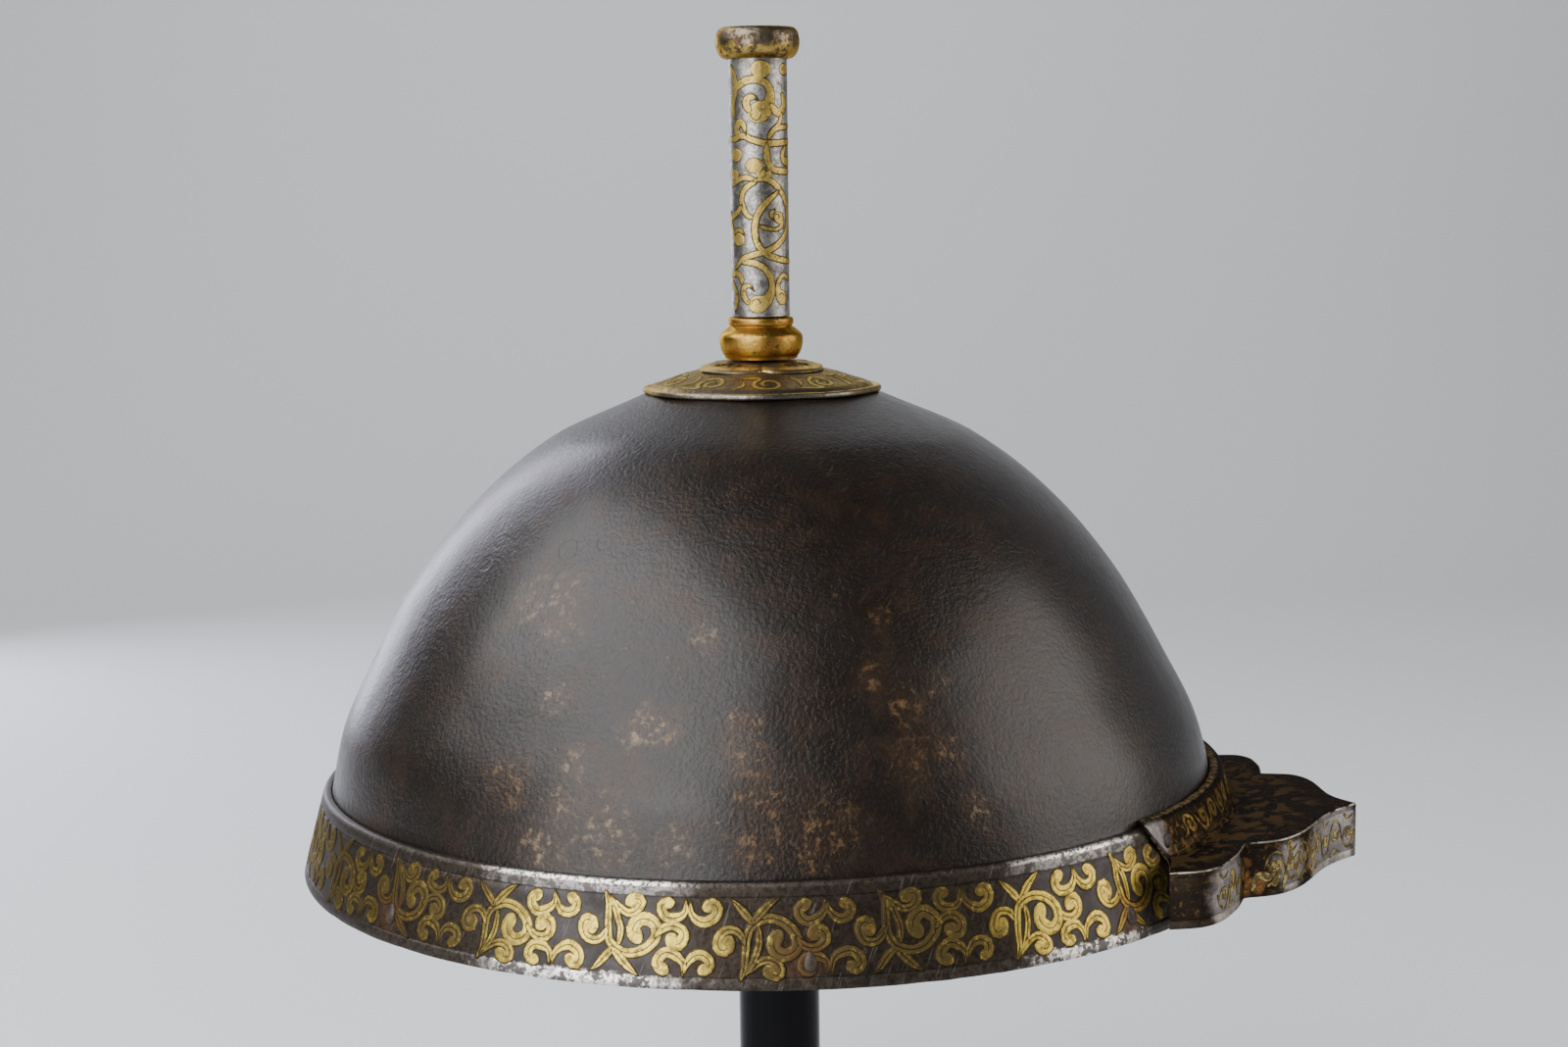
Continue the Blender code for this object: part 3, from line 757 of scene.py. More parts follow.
LINED = ((-1.0, -0.5), (-0.80, 0.8), (-0.34, 1.0), (0.0, 0.3), (0.34, 1.0), (0.80, 0.8),
         (1.0, -0.5))
PLAIN = ((-1.0, -0.5), (-0.82, 0.8), (-0.4, 1.0), (0.4, 1.0), (0.82, 0.8), (1.0, -0.5))


def add_stroke(bm, layer, points, half, shape, place, level, section, proud):
    """Sweep one stroke. place(u, v, lift) puts a point of the drawing on the helmet."""
    rows = []
    for point, side, wide, reach in stroke_rings(points, half, shape):
        edge_end = wide if reach >= 0 else wide * 0.6
        row = []
        for across, lift in section:
            spot = point + side * wide * across
            edge = min((1.0 - abs(across)) * wide, edge_end)
            middle = abs(across) * wide + max(0.0, 0.9 - max(reach, 0.0)) * 0.6
            row.append((bm.verts.new(place(spot.x, spot.y, lift * proud + level)), (edge, middle)))
        rows.append(row)
    for a, b in zip(rows, rows[1:]):
        for i in range(len(a) - 1):
            add_face(bm, layer, (a[i], b[i], b[i + 1], a[i + 1]))


def stroke_piece(name, strokes, material, slot="gilding", flip=False, section=PLAIN, proud=0.07):
    """One mesh from many strokes of (points, half width, shape, place)."""
    mesh = bpy.data.meshes.new(name)
    bm = bmesh.new()
    layer = bm.loops.layers.uv.new("stroke")
    for index, (points, half, shape, place) in enumerate(strokes):
        add_stroke(bm, layer, points, half, shape, place, 0.003 * (index % 9), section, proud)
    if flip:
        bmesh.ops.reverse_faces(bm, faces=bm.faces)
    bm.to_mesh(mesh)
    bm.free()
    make_piece(name, None, mesh, material, slot, 70.0)


def spiral(centre, size, turns, start, hand, tail=None):
    points = []
    count = round(turns * 9)
    for k in range(count + 1):
        share = k / count
        angle = math.radians(start) + hand * share * turns * 2.0 * math.pi
        reach = size * (1.0 - 0.78 * share)
        points.append((centre[0] + reach * math.cos(angle), centre[1] + reach * math.sin(angle)))
    return ([tail] if tail else []) + points


print("stroke builder ready")

# %% [markdown]
# Worn gold
#
# On the band the gold is bright only in the lamp zones, like the silver; outside them it is
# darkened, partly as leaf rubbed through to brown iron and partly as painted shade. One noise
# decides how much gold is left and a second, finer one breaks it into the
# hatching that holds it.

# %% Gold inlay
# Degrees, radius and soft edge of the band's lamp zones; outside them the gold is worn and painted in
# shade
GOLD_LIGHT_AND_WEAR_PLACES = ((-94.0, 25.0, 9.0), (-40.0, 21.0, 9.0), (35.0, 24.0, 12.0), (98.0, 26.0, 12.0),
               (160.0, 26.0, 12.0))
BARE_PLACES = ((-146.0, 26.0), (-64.0, 4.0))


def make_gold_inlay(name, gold, loss, outline, places=()):
    inlay = Finish(name, 0.9, gold, tint=(1.0, 0.85, 0.5))
    edge, middle = inlay.uv("stroke")
    inlay.lay(inlay.effect(SPECKLE, 0.8, 0.45, 0.16, 21.0), tuple(c * 0.72 for c in gold))
    gold_loss_and_painted_shade = inlay.effect(SPECKLE, 1.8, loss, 0.05, 22.0)
    hatch = inlay.effect(SCRATCHES, 0.8, 0.25, 2.0, 0.5, 23.0)
    if places:
        # Outside the lamp zones the gold is darkened: rubbed-through leaf and painted shade together.
        worn_and_painted_shade = 1.0 - painted_light_zones(inlay, places)
        gold_loss_and_painted_shade = strongest([gold_loss_and_painted_shade * 0.75, worn_and_painted_shade * inlay.effect(SPECKLE, 1.3, 0.66, 0.07, 24.0)])
    gold_loss_and_painted_shade = strongest([gold_loss_and_painted_shade * 0.85, hatch * 0.35])
    inlay.lay(gold_loss_and_painted_shade, (0.052, 0.034, 0.016))
    if places:
        inlay.lay(rivet_stains(inlay, 1.0, 5.0, 4.0) * 0.75, (0.13, 0.058, 0.020))
        bare = inlay.stains([(mm_point(angle, BAND_FACE, HALFWAY + 2.0), radius, 6.0)
                             for angle, radius in BARE_PLACES], 0.2)
        # Painted shade and wear outside the lamp zones, and bare iron at the bare places.
        inlay.lay(strongest([worn_and_painted_shade * 0.52, bare * 0.92]), (0.050, 0.035, 0.020))
    edge = edge - inlay.effect(SPECKLE, 1.0, 0.5, 0.2, 25.0) * (0.25 * outline)
    whole = ramp(edge, outline * 0.6, outline * 1.1) * ramp(middle, 0.05, 0.20)
    inlay.lay((1.0 - whole) * 0.92, (0.016, 0.010, 0.007))
    height = inlay.effect(FORGED, 0.35, 1.2, 0.8) - hatch * 0.4
    return inlay.surface(0.38 + gold_loss_and_painted_shade * 0.14, height, 0.7, 0.07)


BAND_GOLD = make_gold_inlay("worn gold inlay with painted shade", (0.62, 0.45, 0.085), 0.42, 0.42, GOLD_LIGHT_AND_WEAR_PLACES)
TUBE_GOLD = make_gold_inlay("bright gold inlay", (0.45, 0.32, 0.085), 0.30, 0.40)

# %% [markdown]
# Cloud scrolls of the band
#
# Twenty-four stems cross the band, leaning like an S, with hooked branches and pairs of
# comma-shaped clouds between them; every other one is turned upside down. Points are in mm along
# the band and up from the middle of the ornament. Drawing one unit and repeating it by angle keeps the
# pattern even all the way round.

# %% Band scrolls
CLOUD_UNIT = [
    ([(-1.4, 8.4), (-0.6, 5.9), (-0.4, 3.2), (-0.2, 0.5), (0.6, -1.9), (3.1, -3.6), (5.8, -3.8),
      (8.5, -2.6), (10.4, -0.5), (10.5, 2.0), (8.5, 3.5), (6.4, 3.0), (5.4, 1.2), (6.1, -0.1)],
     1.15, COMMA),
    ([(-0.8, 7.6), (0.8, 5.7), (1.9, 3.2), (2.5, 0.9), (2.3, -1.9)], 0.9, STEM),
    ([(-0.6, 7.4), (1.6, 5.7), (3.9, 4.5), (6.0, 5.1), (7.0, 6.7), (6.0, 7.6), (4.7, 7.0)],
     1.0, COMMA),
    ([(-0.5, 1.2), (-1.4, -0.7), (-3.1, -1.7), (-5.2, -1.3), (-6.4, 0.5), (-6.0, 2.2),
      (-4.6, 2.4), (-4.2, 1.3)], 1.1, COMMA),
    ([(10.6, 0.2), (12.4, 1.8), (14.7, 2.2), (16.5, 1.2), (16.6, -0.5), (15.3, -1.6),
      (14.4, -0.9)], 1.15, COMMA),
    ([(0.8, -3.4), (-0.6, -5.0), (-2.5, -6.9), (-3.7, -7.9)], 1.0, LEAF),
    ([(1.7, -3.8), (3.3, -5.4), (5.0, -6.9), (7.0, -8.2)], 1.05, LEAF),
    ([(16.9, 7.6), (16.9, 5.2), (15.3, 3.9), (13.0, 3.9), (11.7, 5.2), (11.8, 6.5), (13.0, 6.9)],
     0.95, CLOUD),
    ([(17.9, 7.4), (18.1, 5.2), (19.6, 3.6), (21.6, 3.1), (23.5, 4.0), (24.2, 5.6), (23.3, 6.8),
      (22.2, 6.4)], 1.0, CLOUD),
    ([(16.7, -7.8), (16.9, -5.6), (15.5, -3.9), (13.2, -3.2), (11.5, -4.2), (11.2, -5.8),
      (12.4, -6.6)], 1.0, CLOUD),
    ([(17.2, -7.6), (17.6, -5.6), (19.0, -3.9), (20.8, -3.5), (22.3, -4.3), (22.5, -5.8),
      (21.4, -6.5)], 0.95, CLOUD),
]
UNITS = 24
UNIT_ANGLE = 360.0 / UNITS
FIRST_STEM = -94.0


def on_band(stem_angle, turned_over):
    flip = -1.0 if turned_over else 1.0
    middle_radius = band_radius(FIELD_MIDDLE)

    def place(u, v, lift):
        angle = math.radians(stem_angle) + u / middle_radius
        height = FIELD_MIDDLE + v * flip
        return band_place(angle, band_radius(height), height, lift)

    return place


def vary(points, seed, amount=0.14):
    """Hand work is never exact: nudge the points a little."""
    return [(x + amount * noise.noise(Vector((x, y, seed))),
             y + amount * noise.noise(Vector((y, x, seed + 7.3)))) for x, y in points]


band_strokes = []
for unit in range(UNITS):
    place = on_band(FIRST_STEM + UNIT_ANGLE * unit, unit % 2 == 1)
    for points, half, shape in CLOUD_UNIT:
        band_strokes.append((vary(points, unit * 3.1, 0.30), half + 0.18, shape, place))
stroke_piece("band_scrolls", band_strokes, BAND_GOLD, section=LINED, proud=0.11)

# %% [markdown]
# Iron of the peak
#
# The peak carried the same damascening, now mostly rubbed off its top. The shelf is black-brown
# with faint golden hatching and the edges are worn to a bright line. The hanging skirt is dark,
# with silver-grey painted on the lobe faces that turn to the lamps: painted highlight.

# %% Peak iron
PEAK_REACH = 32.0
PEAK_HALF_WIDTH = 61.3
SHELF_HEIGHT = 15.4
SHELF_RISE = 0.082
SKIRT_DEPTH = 13.5
PEAK_WALL = 1.8
FLANGE_WALL = 1.4
FLANGE_ABOVE = 2.5
FLANGE_HALF_FOOT = 48.0
FLANGE_HALF_TOP = 54.0
FILLET = 2.2
SIDE_LOBE = [(-.256, 1.0), (-.031, .982), (.094, .914), (.156, .824), (.200, .726),
             (.222, .613)]
FRONT_LOBE = [(.231, .594), (.438, .564), (.553, .509), (.634, .431), (.694, .336),
              (.741, .248), (.794, .166), (.875, .088), (1.0, 0.0)]


def peak_outline(steps):
    """Plan line of the skirt from the -X end round the tip to the +X end, in mm."""
    front = band_radius(SHELF_HEIGHT) + FORWARD
    half = refine(SIDE_LOBE, steps) + refine(FRONT_LOBE, steps)
    left = [Vector((-p.y * PEAK_HALF_WIDTH, front + p.x * PEAK_REACH)) for p in half]
    right = [Vector((-p.x, p.y)) for p in left[-2::-1]]
    return left + right


def shelf_height(forward):
    return SHELF_HEIGHT + SHELF_RISE * (forward - band_radius(SHELF_HEIGHT) - FORWARD
                                        + 0.256 * PEAK_REACH)


def from_plan(x, forward, height):
    return Vector((x * MM, (AXIS_BACK - forward) * MM, (RIM + height) * MM))


def line_normal(line, i):
    along = (line[min(i + 1, len(line) - 1)] - line[max(i - 1, 0)]).normalized()
    return Vector((-along.y, along.x))


SKIRT = peak_outline(8)
SKIRT_RUN = [0.0]
for before, after in zip(SKIRT, SKIRT[1:]):
    SKIRT_RUN.append(SKIRT_RUN[-1] + (after - before).length)


def on_skirt(mirrored):
    """Drawing plane of the skirt: s mm along it from the end, t mm up from its lower edge."""
    def place(s, t, lift):
        s = max(0.0, min(SKIRT_RUN[-1], s))
        i = 0
        while i < len(SKIRT) - 2 and SKIRT_RUN[i + 1] < s:
            i += 1
        mix = (s - SKIRT_RUN[i]) / (SKIRT_RUN[i + 1] - SKIRT_RUN[i])
        spot = SKIRT[i].lerp(SKIRT[i + 1], mix)
        normal = line_normal(SKIRT, i).lerp(line_normal(SKIRT, i + 1), mix).normalized()
        out = spot + normal * lift
        side = -1.0 if mirrored else 1.0
        return from_plan(out.x * side, out.y, shelf_height(spot.y) - SKIRT_DEPTH + t)

    return place


def flange_point(side, height, off):
    """A point of the flange; side runs from -1 to 1 across the peak."""
    top = BAND_HEIGHT + FLANGE_ABOVE
    foot_angle = math.asin(FLANGE_HALF_FOOT * side / band_radius(SHELF_HEIGHT))
    top_angle = math.asin(FLANGE_HALF_TOP * side / band_radius(top))
    mix = min(1.0, max(0.0, (height - SHELF_HEIGHT) / (top - SHELF_HEIGHT)))
    angle = foot_angle + (top_angle - foot_angle) * mix
    radius = band_radius(height) + off
    return Vector((radius * math.sin(angle), radius * math.cos(angle) + FORWARD, height))


# The lobe table below places a painted highlight: the skirt faces that turn to the lamps.
# Millimetres along the skirt with a radius, and for rust also millimetres up it
PAINTED_LIT_LOBES = ((18.5, 8.5), (46.0, 5.5), (67.5, 12.0), (91.0, 11.0), (113.0, 5.5), (140.0, 8.0))
SKIRT_RUST = ((32.6, 9.0, 1.2), (32.8, 5.5, 1.2), (33.2, 2.0, 1.4), (36.0, 3.5, 2.0),
              (41.0, 6.5, 1.6), (53.6, 8.0, 1.2), (54.0, 4.0, 1.2), (127.0, 6.0, 2.0))


def skirt_mm(s, t):
    return tuple(on_skirt(False)(s, t, 0.0))


def make_peak_iron():
    iron = Finish("worn iron of the peak with painted highlights", 0.85, (0.016, 0.012, 0.010), specular=0.2,
                  tint=(0.30, 0.28, 0.26))
    mark = iron.uv("skin")[1]
    fine = iron.effect(SPECKLE, 1.0, 0.5, 0.14, 31.0)
    brown = iron.effect(SPECKLE, 6.0, 0.5, 0.12, 32.0)
    iron.lay(brown, (0.025, 0.0175, 0.0115))
    iron.lay(fine * 0.4, (0.009, 0.007, 0.005))
    iron.lay(iron.effect(SPECKLE, 1.4, 0.30, 0.06, 35.0) * 0.6, (0.15, 0.075, 0.028))
    hatch = iron.effect(SCRATCHES, 0.05, 0.3, 5.0, 0.62, 33.0)
    shelf = iron.effect(STRIP, mark, 0.30, 0.53, 0.06, 0.1, 6.0)
    iron.lay(hatch * shelf * 0.30, (0.22, 0.14, 0.05))
    # Painted highlight: silver-grey on the lobe faces and the flange's end that turn to the lamps.
    painted_lit_lobes = iron.stains([(skirt_mm(s, 6.5), radius, 2.0) for s, radius in PAINTED_LIT_LOBES], 0.2)
    end = iron.effect(PATCH, tuple(from_plan(-52.5, 104.0, 20.0)), 5.5, 2.0, 0.3)
    skirt = iron.effect(STRIP, mark, 0.66, 1.05, 0.01, 0.01, 3.0)
    flange = iron.effect(STRIP, mark, 0.01, 0.30, 0.02, 0.02, 3.0)
    grey = strongest([painted_lit_lobes, end]) * skirt.combine("ADD", flange, clamp=True)
    silver = mix(brown, (0.180, 0.163, 0.158), (0.262, 0.241, 0.235))
    iron.lay(grey, mix(fine * 0.45, silver, (0.085, 0.074, 0.068)))
    rests = iron.effect(SPECKLE, 3.4, 0.36, 0.03, 36.0) * (0.1 + fine * 0.5)
    face = iron.effect(STRIP, mark, 0.05, 0.36, 0.02, 0.08, 3.0) * (1.0 - end)
    iron.lay(rests * face, (0.24, 0.13, 0.035))
    rust = iron.stains([(skirt_mm(s, t), radius, 0.9) for s, t, radius in SKIRT_RUST], 0.6)
    iron.lay(rust * (0.35 + fine * 0.5), (0.30, 0.145, 0.045))
    edge = iron.effect(STRIP, mark, 0.638, 0.657, 0.004, 0.008, 2.0)
    # Painted highlight: the lower edge turns bright mostly on the lit lobes.
    low = iron.effect(STRIP, mark, 0.905, 1.0, 0.010, 0.04, 2.0) * (0.05 + grey * 0.95)
    bright = strongest([edge, low]) * iron.effect(SPECKLE, 3.5, 0.55, 0.08, 34.0)
    iron.lay(bright * 0.85, (0.38, 0.34, 0.28))
    lip = iron.effect(STRIP, mark, -0.20, 0.0, 0.012, 0.02, 2.0)
    knobs = iron.effect(SPECKLE, 1.3, 0.48, 0.06, 37.0)
    iron.lay(lip * (0.08 + knobs * 0.7), (0.36, 0.26, 0.14))
    height = iron.effect(FORGED, 0.6, 3.5, 0.8) - hatch * 0.3
    return iron.surface(0.54 - bright * 0.16, height, 0.6, 0.10)


PEAK_IRON = make_peak_iron()
print("skirt is", round(SKIRT_RUN[-1], 1), "mm round")

# %% [markdown]
# The peak
#
# One plate: a flange that follows the band, a flat shelf with a cusped outline, and a skirt that
# hangs from its edge. A solid made by cutting would have hard seams, so the peak is a bundle of
# lines instead: each line keeps one place in the section and follows the outline, and faces join
# neighbouring lines. Two fine grooves run round the skirt as its engraved borders.

# %% Peak
def inset_line(line, wall):
    result = []
    for i, point in enumerate(line):
        before = line[max(i - 1, 0)]
        after = line[min(i + 1, len(line) - 1)]
        a = (point - before).normalized() if i else (after - point).normalized()
        b = (after - point).normalized() if i < len(line) - 1 else a
        normal_a = Vector((a.y, -a.x))
        normal = (normal_a + Vector((b.y, -b.x))).normalized()
        result.append(point + normal * wall / max(0.6, normal.dot(normal_a)))
    return result


FLANGE_LIP = 1.2


def flange_lip(height):
    """How far off the band's line the lip over the band ends, just short of the bowl."""
    return monotone(BOWL_ROWS, height) + GAP - band_radius(height)


def peak_section(outer, hidden, normal, level, foot):
    """Points of one section, each with its mark: v from 0 at the flange's top to 1 below."""
    side = outer.x / PEAK_HALF_WIDTH
    top = BAND_HEIGHT + FLANGE_ABOVE
    face = GAP + FLANGE_WALL
    root = flange_point(side, foot, face)
    out = (outer - root.xy).normalized()
    reach = (outer - root.xy).length
    bottom = level - SKIRT_DEPTH

    def shelf_point(away, drop=0.0):
        spot = root.xy + out * away
        mix = min(1.0, away / reach)
        return Vector((spot.x, spot.y, foot + (level - foot) * mix - drop))

    def skirt_point(up, cut=0.0):
        spot = outer - normal * cut
        return Vector((spot.x, spot.y, bottom + up))

    lip_bottom = top - FLANGE_LIP
    inner = 0.955 * side
    rows = [(flange_point(side, lip_bottom, GAP), -0.3),
            (flange_point(inner, lip_bottom, flange_lip(lip_bottom)), -0.25),
            (flange_point(inner, top - 0.25, flange_lip(top - 0.25)), -0.15),
            (flange_point(inner, top, flange_lip(top) + 0.4), -0.08),
            (flange_point(inner, top - 0.1, GAP + 0.1), 0.0),
            (flange_point(side, top - 0.5, face - 0.30), 0.03),
            (flange_point(side, top - 1.0, face), 0.06)]
    for share in (0.75, 0.5, 0.25):
        height = foot + FILLET + (top - 1.0 - foot - FILLET) * share
        rows.append((flange_point(side, height, face), 0.26 - 0.2 * share))
    for turn in (0.0, 22.5, 45.0, 67.5, 90.0):
        a = math.radians(turn)
        lift = FILLET * (1.0 - math.sin(a))
        away = FILLET * (1.0 - math.cos(a))
        spot = flange_point(side, foot + lift, face)
        spot.x += out.x * away
        spot.y += out.y * away
        rows.append((spot, 0.28 + 0.10 * turn / 90.0))
    for share in (0.35, 0.7):
        rows.append((shelf_point(FILLET + (reach - FILLET) * share), 0.38 + 0.22 * share))
    rows += [(shelf_point(max(FILLET, reach - 0.8)), 0.61),
             (Vector((*(outer - normal * 0.45), level - 0.03)), 0.63),
             (Vector((*(outer - normal * 0.13), level - 0.16)), 0.645),
             (skirt_point(SKIRT_DEPTH - 0.5), 0.66)]
    for up, cut in ((12.2, 0.0), (12.0, 0.16), (11.8, 0.0), (8.0, 0.0), (5.0, 0.0), (2.3, 0.0),
                    (2.1, 0.18), (1.9, 0.0), (0.5, 0.0)):
        rows.append((skirt_point(up, cut), 0.94 - 0.28 * up / SKIRT_DEPTH))
    rows += [(Vector((*(outer - normal * 0.15), bottom + 0.12)), 0.96),
             (Vector((*(outer - normal * 0.5), bottom)), 0.98),
             (Vector((*hidden, bottom)), -0.3),
             (Vector((*hidden, level - PEAK_WALL)), -0.3),
             (shelf_point(0.5 * reach, PEAK_WALL), -0.3),
             (shelf_point(0.35 * FILLET, PEAK_WALL), -0.3),
             (flange_point(side, foot - PEAK_WALL, GAP), -0.3)]
    return rows


def peak_lines():
    inner_line = inset_line(SKIRT, PEAK_WALL)
    foot_sine = FLANGE_HALF_FOOT / band_radius(SHELF_HEIGHT) / PEAK_HALF_WIDTH
    sections = []
    for i, outer in enumerate(SKIRT):
        cosine = math.sqrt(1.0 - (foot_sine * outer.x) ** 2)
        forward = (band_radius(SHELF_HEIGHT) + GAP + FLANGE_WALL) * cosine + FORWARD
        sections.append(peak_section(outer, inner_line[i], line_normal(SKIRT, i),
                                     shelf_height(outer.y), shelf_height(forward)))
    lines = [[from_plan(*section[k][0]) for section in sections]
             for k in range(len(sections[0]))]
    return lines, [mark for _, mark in sections[0]]


lines, marks = peak_lines()
make_piece("peak_skin", "peak", skin_mesh("peak_skin", lines, marks, closed=True, wrap=False),
           PEAK_IRON, "damascened_iron", 48.0)

# %% [markdown]
# Scrolls of the peak
#
# The skirt has finer scrolls than the band: a winding stem with a spiral in each bend, and a few
# larger strokes at its ridges. The flange keeps only rubbed remains. The same stroke builder
# draws them, once for each side of the peak.

# %% Peak scrolls
SKIRT_STROKES = [
    ([(42.6, 1.4), (43.6, 4.4), (44.6, 7.0), (45.4, 10.0), (44.8, 11.6)], 0.75, COMMA),
    ([(48.6, 2.2), (47.8, 5.0), (46.6, 7.4), (48.6, 9.6), (50.4, 11.4)], 0.50, STEM),
    ([(57.0, 2.6), (57.6, 6.0), (58.8, 9.0), (60.4, 11.2)], 0.80, LEAF),
    ([(35.0, 2.2), (35.6, 4.6), (37.0, 5.6), (38.6, 4.8)], 0.85, COMMA),
    ([(38.8, 6.2), (40.4, 7.6), (41.4, 6.0), (40.6, 3.2)], 0.70, COMMA),
    ([(17.6, 2.2), (18.2, 4.6), (19.8, 6.6), (20.6, 9.0), (19.4, 10.4)], 0.60, COMMA),
]


def skirt_drawing():
    """A winding stem with a spiral in each of its bends, then the larger strokes."""
    drawn = list(SKIRT_STROKES)
    middle = 6.9
    bend = 5.2
    for k in range(round((0.5 * SKIRT_RUN[-1] - 14.0) / bend)):
        s = 14.5 + bend * k
        if 30.5 < s < 36.0:
            continue
        up = 1.0 if k % 2 else -1.0
        drawn.append(([(s - 0.5 * bend, middle), (s - 0.3 * bend, middle + 2.6 * up),
                       (s, middle + 3.9 * up), (s + 0.3 * bend, middle + 2.6 * up),
                       (s + 0.5 * bend, middle)], 0.38, STEM))
        drawn.append((spiral((s + 0.2, middle + 0.5 * up), 1.9, 1.05, 180.0, up,
                             (s - 0.5 * bend, middle + 0.8 * up)), 0.48, COMMA))
        drawn.append(([(s - 1.6, middle - 4.6 * up), (s, middle - 3.4 * up),
                       (s + 1.8, middle - 4.4 * up)], 0.42, LEAF))
    return drawn


def flange_drawing():
    """A running scroll: spirals turned up and down by turns, joined by their tails."""
    drawn = []
    for k in range(5):
        x = -37.5 + 8.2 * k
        hand = 1.0 if k % 2 else -1.0
        drawn.append((spiral((x, 3.5), 3.0, 1.2, 200.0, hand, (x - 5.2, 3.5 + 2.4 * hand)), 0.72,
                      COMMA))
    return drawn


def on_flange(mirrored):
    def place(x, up, lift):
        spot = flange_point(x / FLANGE_HALF_TOP, SHELF_HEIGHT + 1.6 + up, GAP + FLANGE_WALL + lift)
        return from_plan(-spot.x if mirrored else spot.x, spot.y, spot.z)

    return place


PEAK_GOLD = make_gold_inlay("thin gold of the peak", (0.44, 0.34, 0.13), 0.52, 0.20)
RUBBED_GOLD = make_gold_inlay("rubbed gold", (0.46, 0.28, 0.06), 0.60, 0.30)
for mirrored in (False, True):
    end = "left" if mirrored else "right"
    stroke_piece("skirt_scrolls_" + end, [(vary(points, 2.0, 0.5), half, shape, on_skirt(mirrored))
                                          for points, half, shape in skirt_drawing()],
                 PEAK_GOLD, flip=not mirrored)
    stroke_piece("flange_scrolls_" + end, [(vary(points, 4.0, 0.4), half, shape, on_flange(mirrored))
                                           for points, half, shape in flange_drawing()],
                 RUBBED_GOLD, flip=mirrored)

# %% [markdown]
# Rivets
#
# Seven rivets hold band to bowl and two more hold the peak. Their heads were hammered over, so
# the band's are pointed ovals standing upright, and the peak's are small flat ovals.

# %% Rivets
PEAK_RIVET_UP = SHELF_HEIGHT + 3.6
PEAK_RIVET_SIDE = 48.0
SHANK = 1.1
INNER_HEAD = 1.9
STACK = BAND_WALL + GAP + BOWL_WALL + GAP


def make_rivet_iron():
    iron = Finish("rusted rivet iron", 0.6, (0.022, 0.016, 0.012))
    iron.lay(iron.effect(SPECKLE, 0.9, 0.5, 0.15, 41.0), (0.052, 0.036, 0.027))
    return iron.surface(0.55, iron.effect(FORGED, 0.5, 1.6, 1.0), 0.8, 0.12)


RIVET_IRON = make_rivet_iron()


def rivet_frame(angle_deg, height):
    angle = math.radians(angle_deg)
    centre = on_helmet(angle, band_radius(height), height, FORWARD)
    out = Vector((math.sin(angle), -math.cos(angle), BAND_FLARE)).normalized()
    side = Vector((math.cos(angle), math.sin(angle), 0.0))
    turn = Matrix((side, out.cross(side), out)).transposed()
    return Matrix.Translation(centre) @ turn.to_4x4()


def rivet_skin(name, angle_deg, height, seat, wide, tall, point, rise):
    """A rivet: the head is wide by tall with a point upward and stands rise over its seat."""
    turned_to = rivet_frame(angle_deg, height)
    rows = [(seat + rise, 0.0), (seat + rise * 0.97, 0.25), (seat + rise * 0.85, 0.55),
            (seat + rise * 0.6, 0.80), (seat + rise * 0.3, 0.95), (seat, 1.0), (seat - 0.2, 1.0),
            (seat - 0.2, SHANK), (-STACK, SHANK), (-STACK, INNER_HEAD), (-STACK - 0.3, 1.7),
            (-STACK - 0.6, 1.2), (-STACK - 0.75, 0.0)]

    def place(turn, radius, along):
        x = radius * math.cos(turn)
        y = radius * math.sin(turn)
        if along > seat - 0.15 or (along > 0 and radius == 1.0):
            x *= wide
            y = tall * y + point * max(0.0, math.sin(turn)) ** 5 * radius ** 2
        return turned_to @ Vector((x * MM, y * MM, along * MM))

    turned(name + "_skin", name, rows, 28, place, RIVET_IRON, "russet_iron", 50.0)


for index, (angle, up) in enumerate(RIVETS):
    rivet_skin("band_rivet_%d" % (index + 1), angle, up, GAP * 0.4, 1.55, 1.9, 0.9, 0.75)
peak_rivet_angle = math.degrees(math.asin(PEAK_RIVET_SIDE / band_radius(PEAK_RIVET_UP)))
for end, angle in (("right", -peak_rivet_angle), ("left", peak_rivet_angle)):
    rivet_skin("peak_rivet_" + end, angle, PEAK_RIVET_UP, FLANGE_WALL + GAP, 1.2, 1.7, 0.0, 0.45)

# %% [markdown]
# Gilding
#
# Plate, petals, knop and mouth ring were gilt all over. The gold is thin: red-brown stains and
# dark spots come through it. v runs up each turned piece, so the worn rims are strips along it.

# %% Gilding
def make_gilding(name, gold, stain, stains, darker, rim=None, grey=None, grit=0.9):
    """stains and darker are (size mm, cover). rim and grey are (from, to) along v."""
    gilt = Finish("gilding of the " + name, 1.0, gold, tint=(1.0, 0.8, 0.45))
    up = gilt.uv("skin")[1]
    gilt.lay(gilt.effect(SPECKLE, 3.0, 0.5, 0.25, 51.0), tuple(c * 0.66 for c in gold))
    red = gilt.effect(SPECKLE, *stains, 0.10, 52.0)
    gilt.lay(red * 0.7, stain)
    spots = gilt.effect(SPECKLE, *darker, 0.06, 53.0)
    if grey:
        gilt.lay(gilt.effect(STRIP, up, *grey, 0.03, 0.9, 3.0) * 0.85, (0.105, 0.094, 0.080))
    gilt.lay(spots * 0.85, (0.050, 0.030, 0.018))
    if rim:
        kept = gilt.effect(SPECKLE, 3.0, 0.62, 0.05, 54.0)
        gilt.lay(gilt.effect(STRIP, up, *rim, 0.015, 0.05, 2.0) * kept, (0.66, 0.49, 0.19))
    height = gilt.effect(FORGED, grit, 2.4, 0.9) - spots * 0.3
    return gilt.surface(0.33 + spots * 0.22 + red * 0.08, height, 0.6, 0.12)


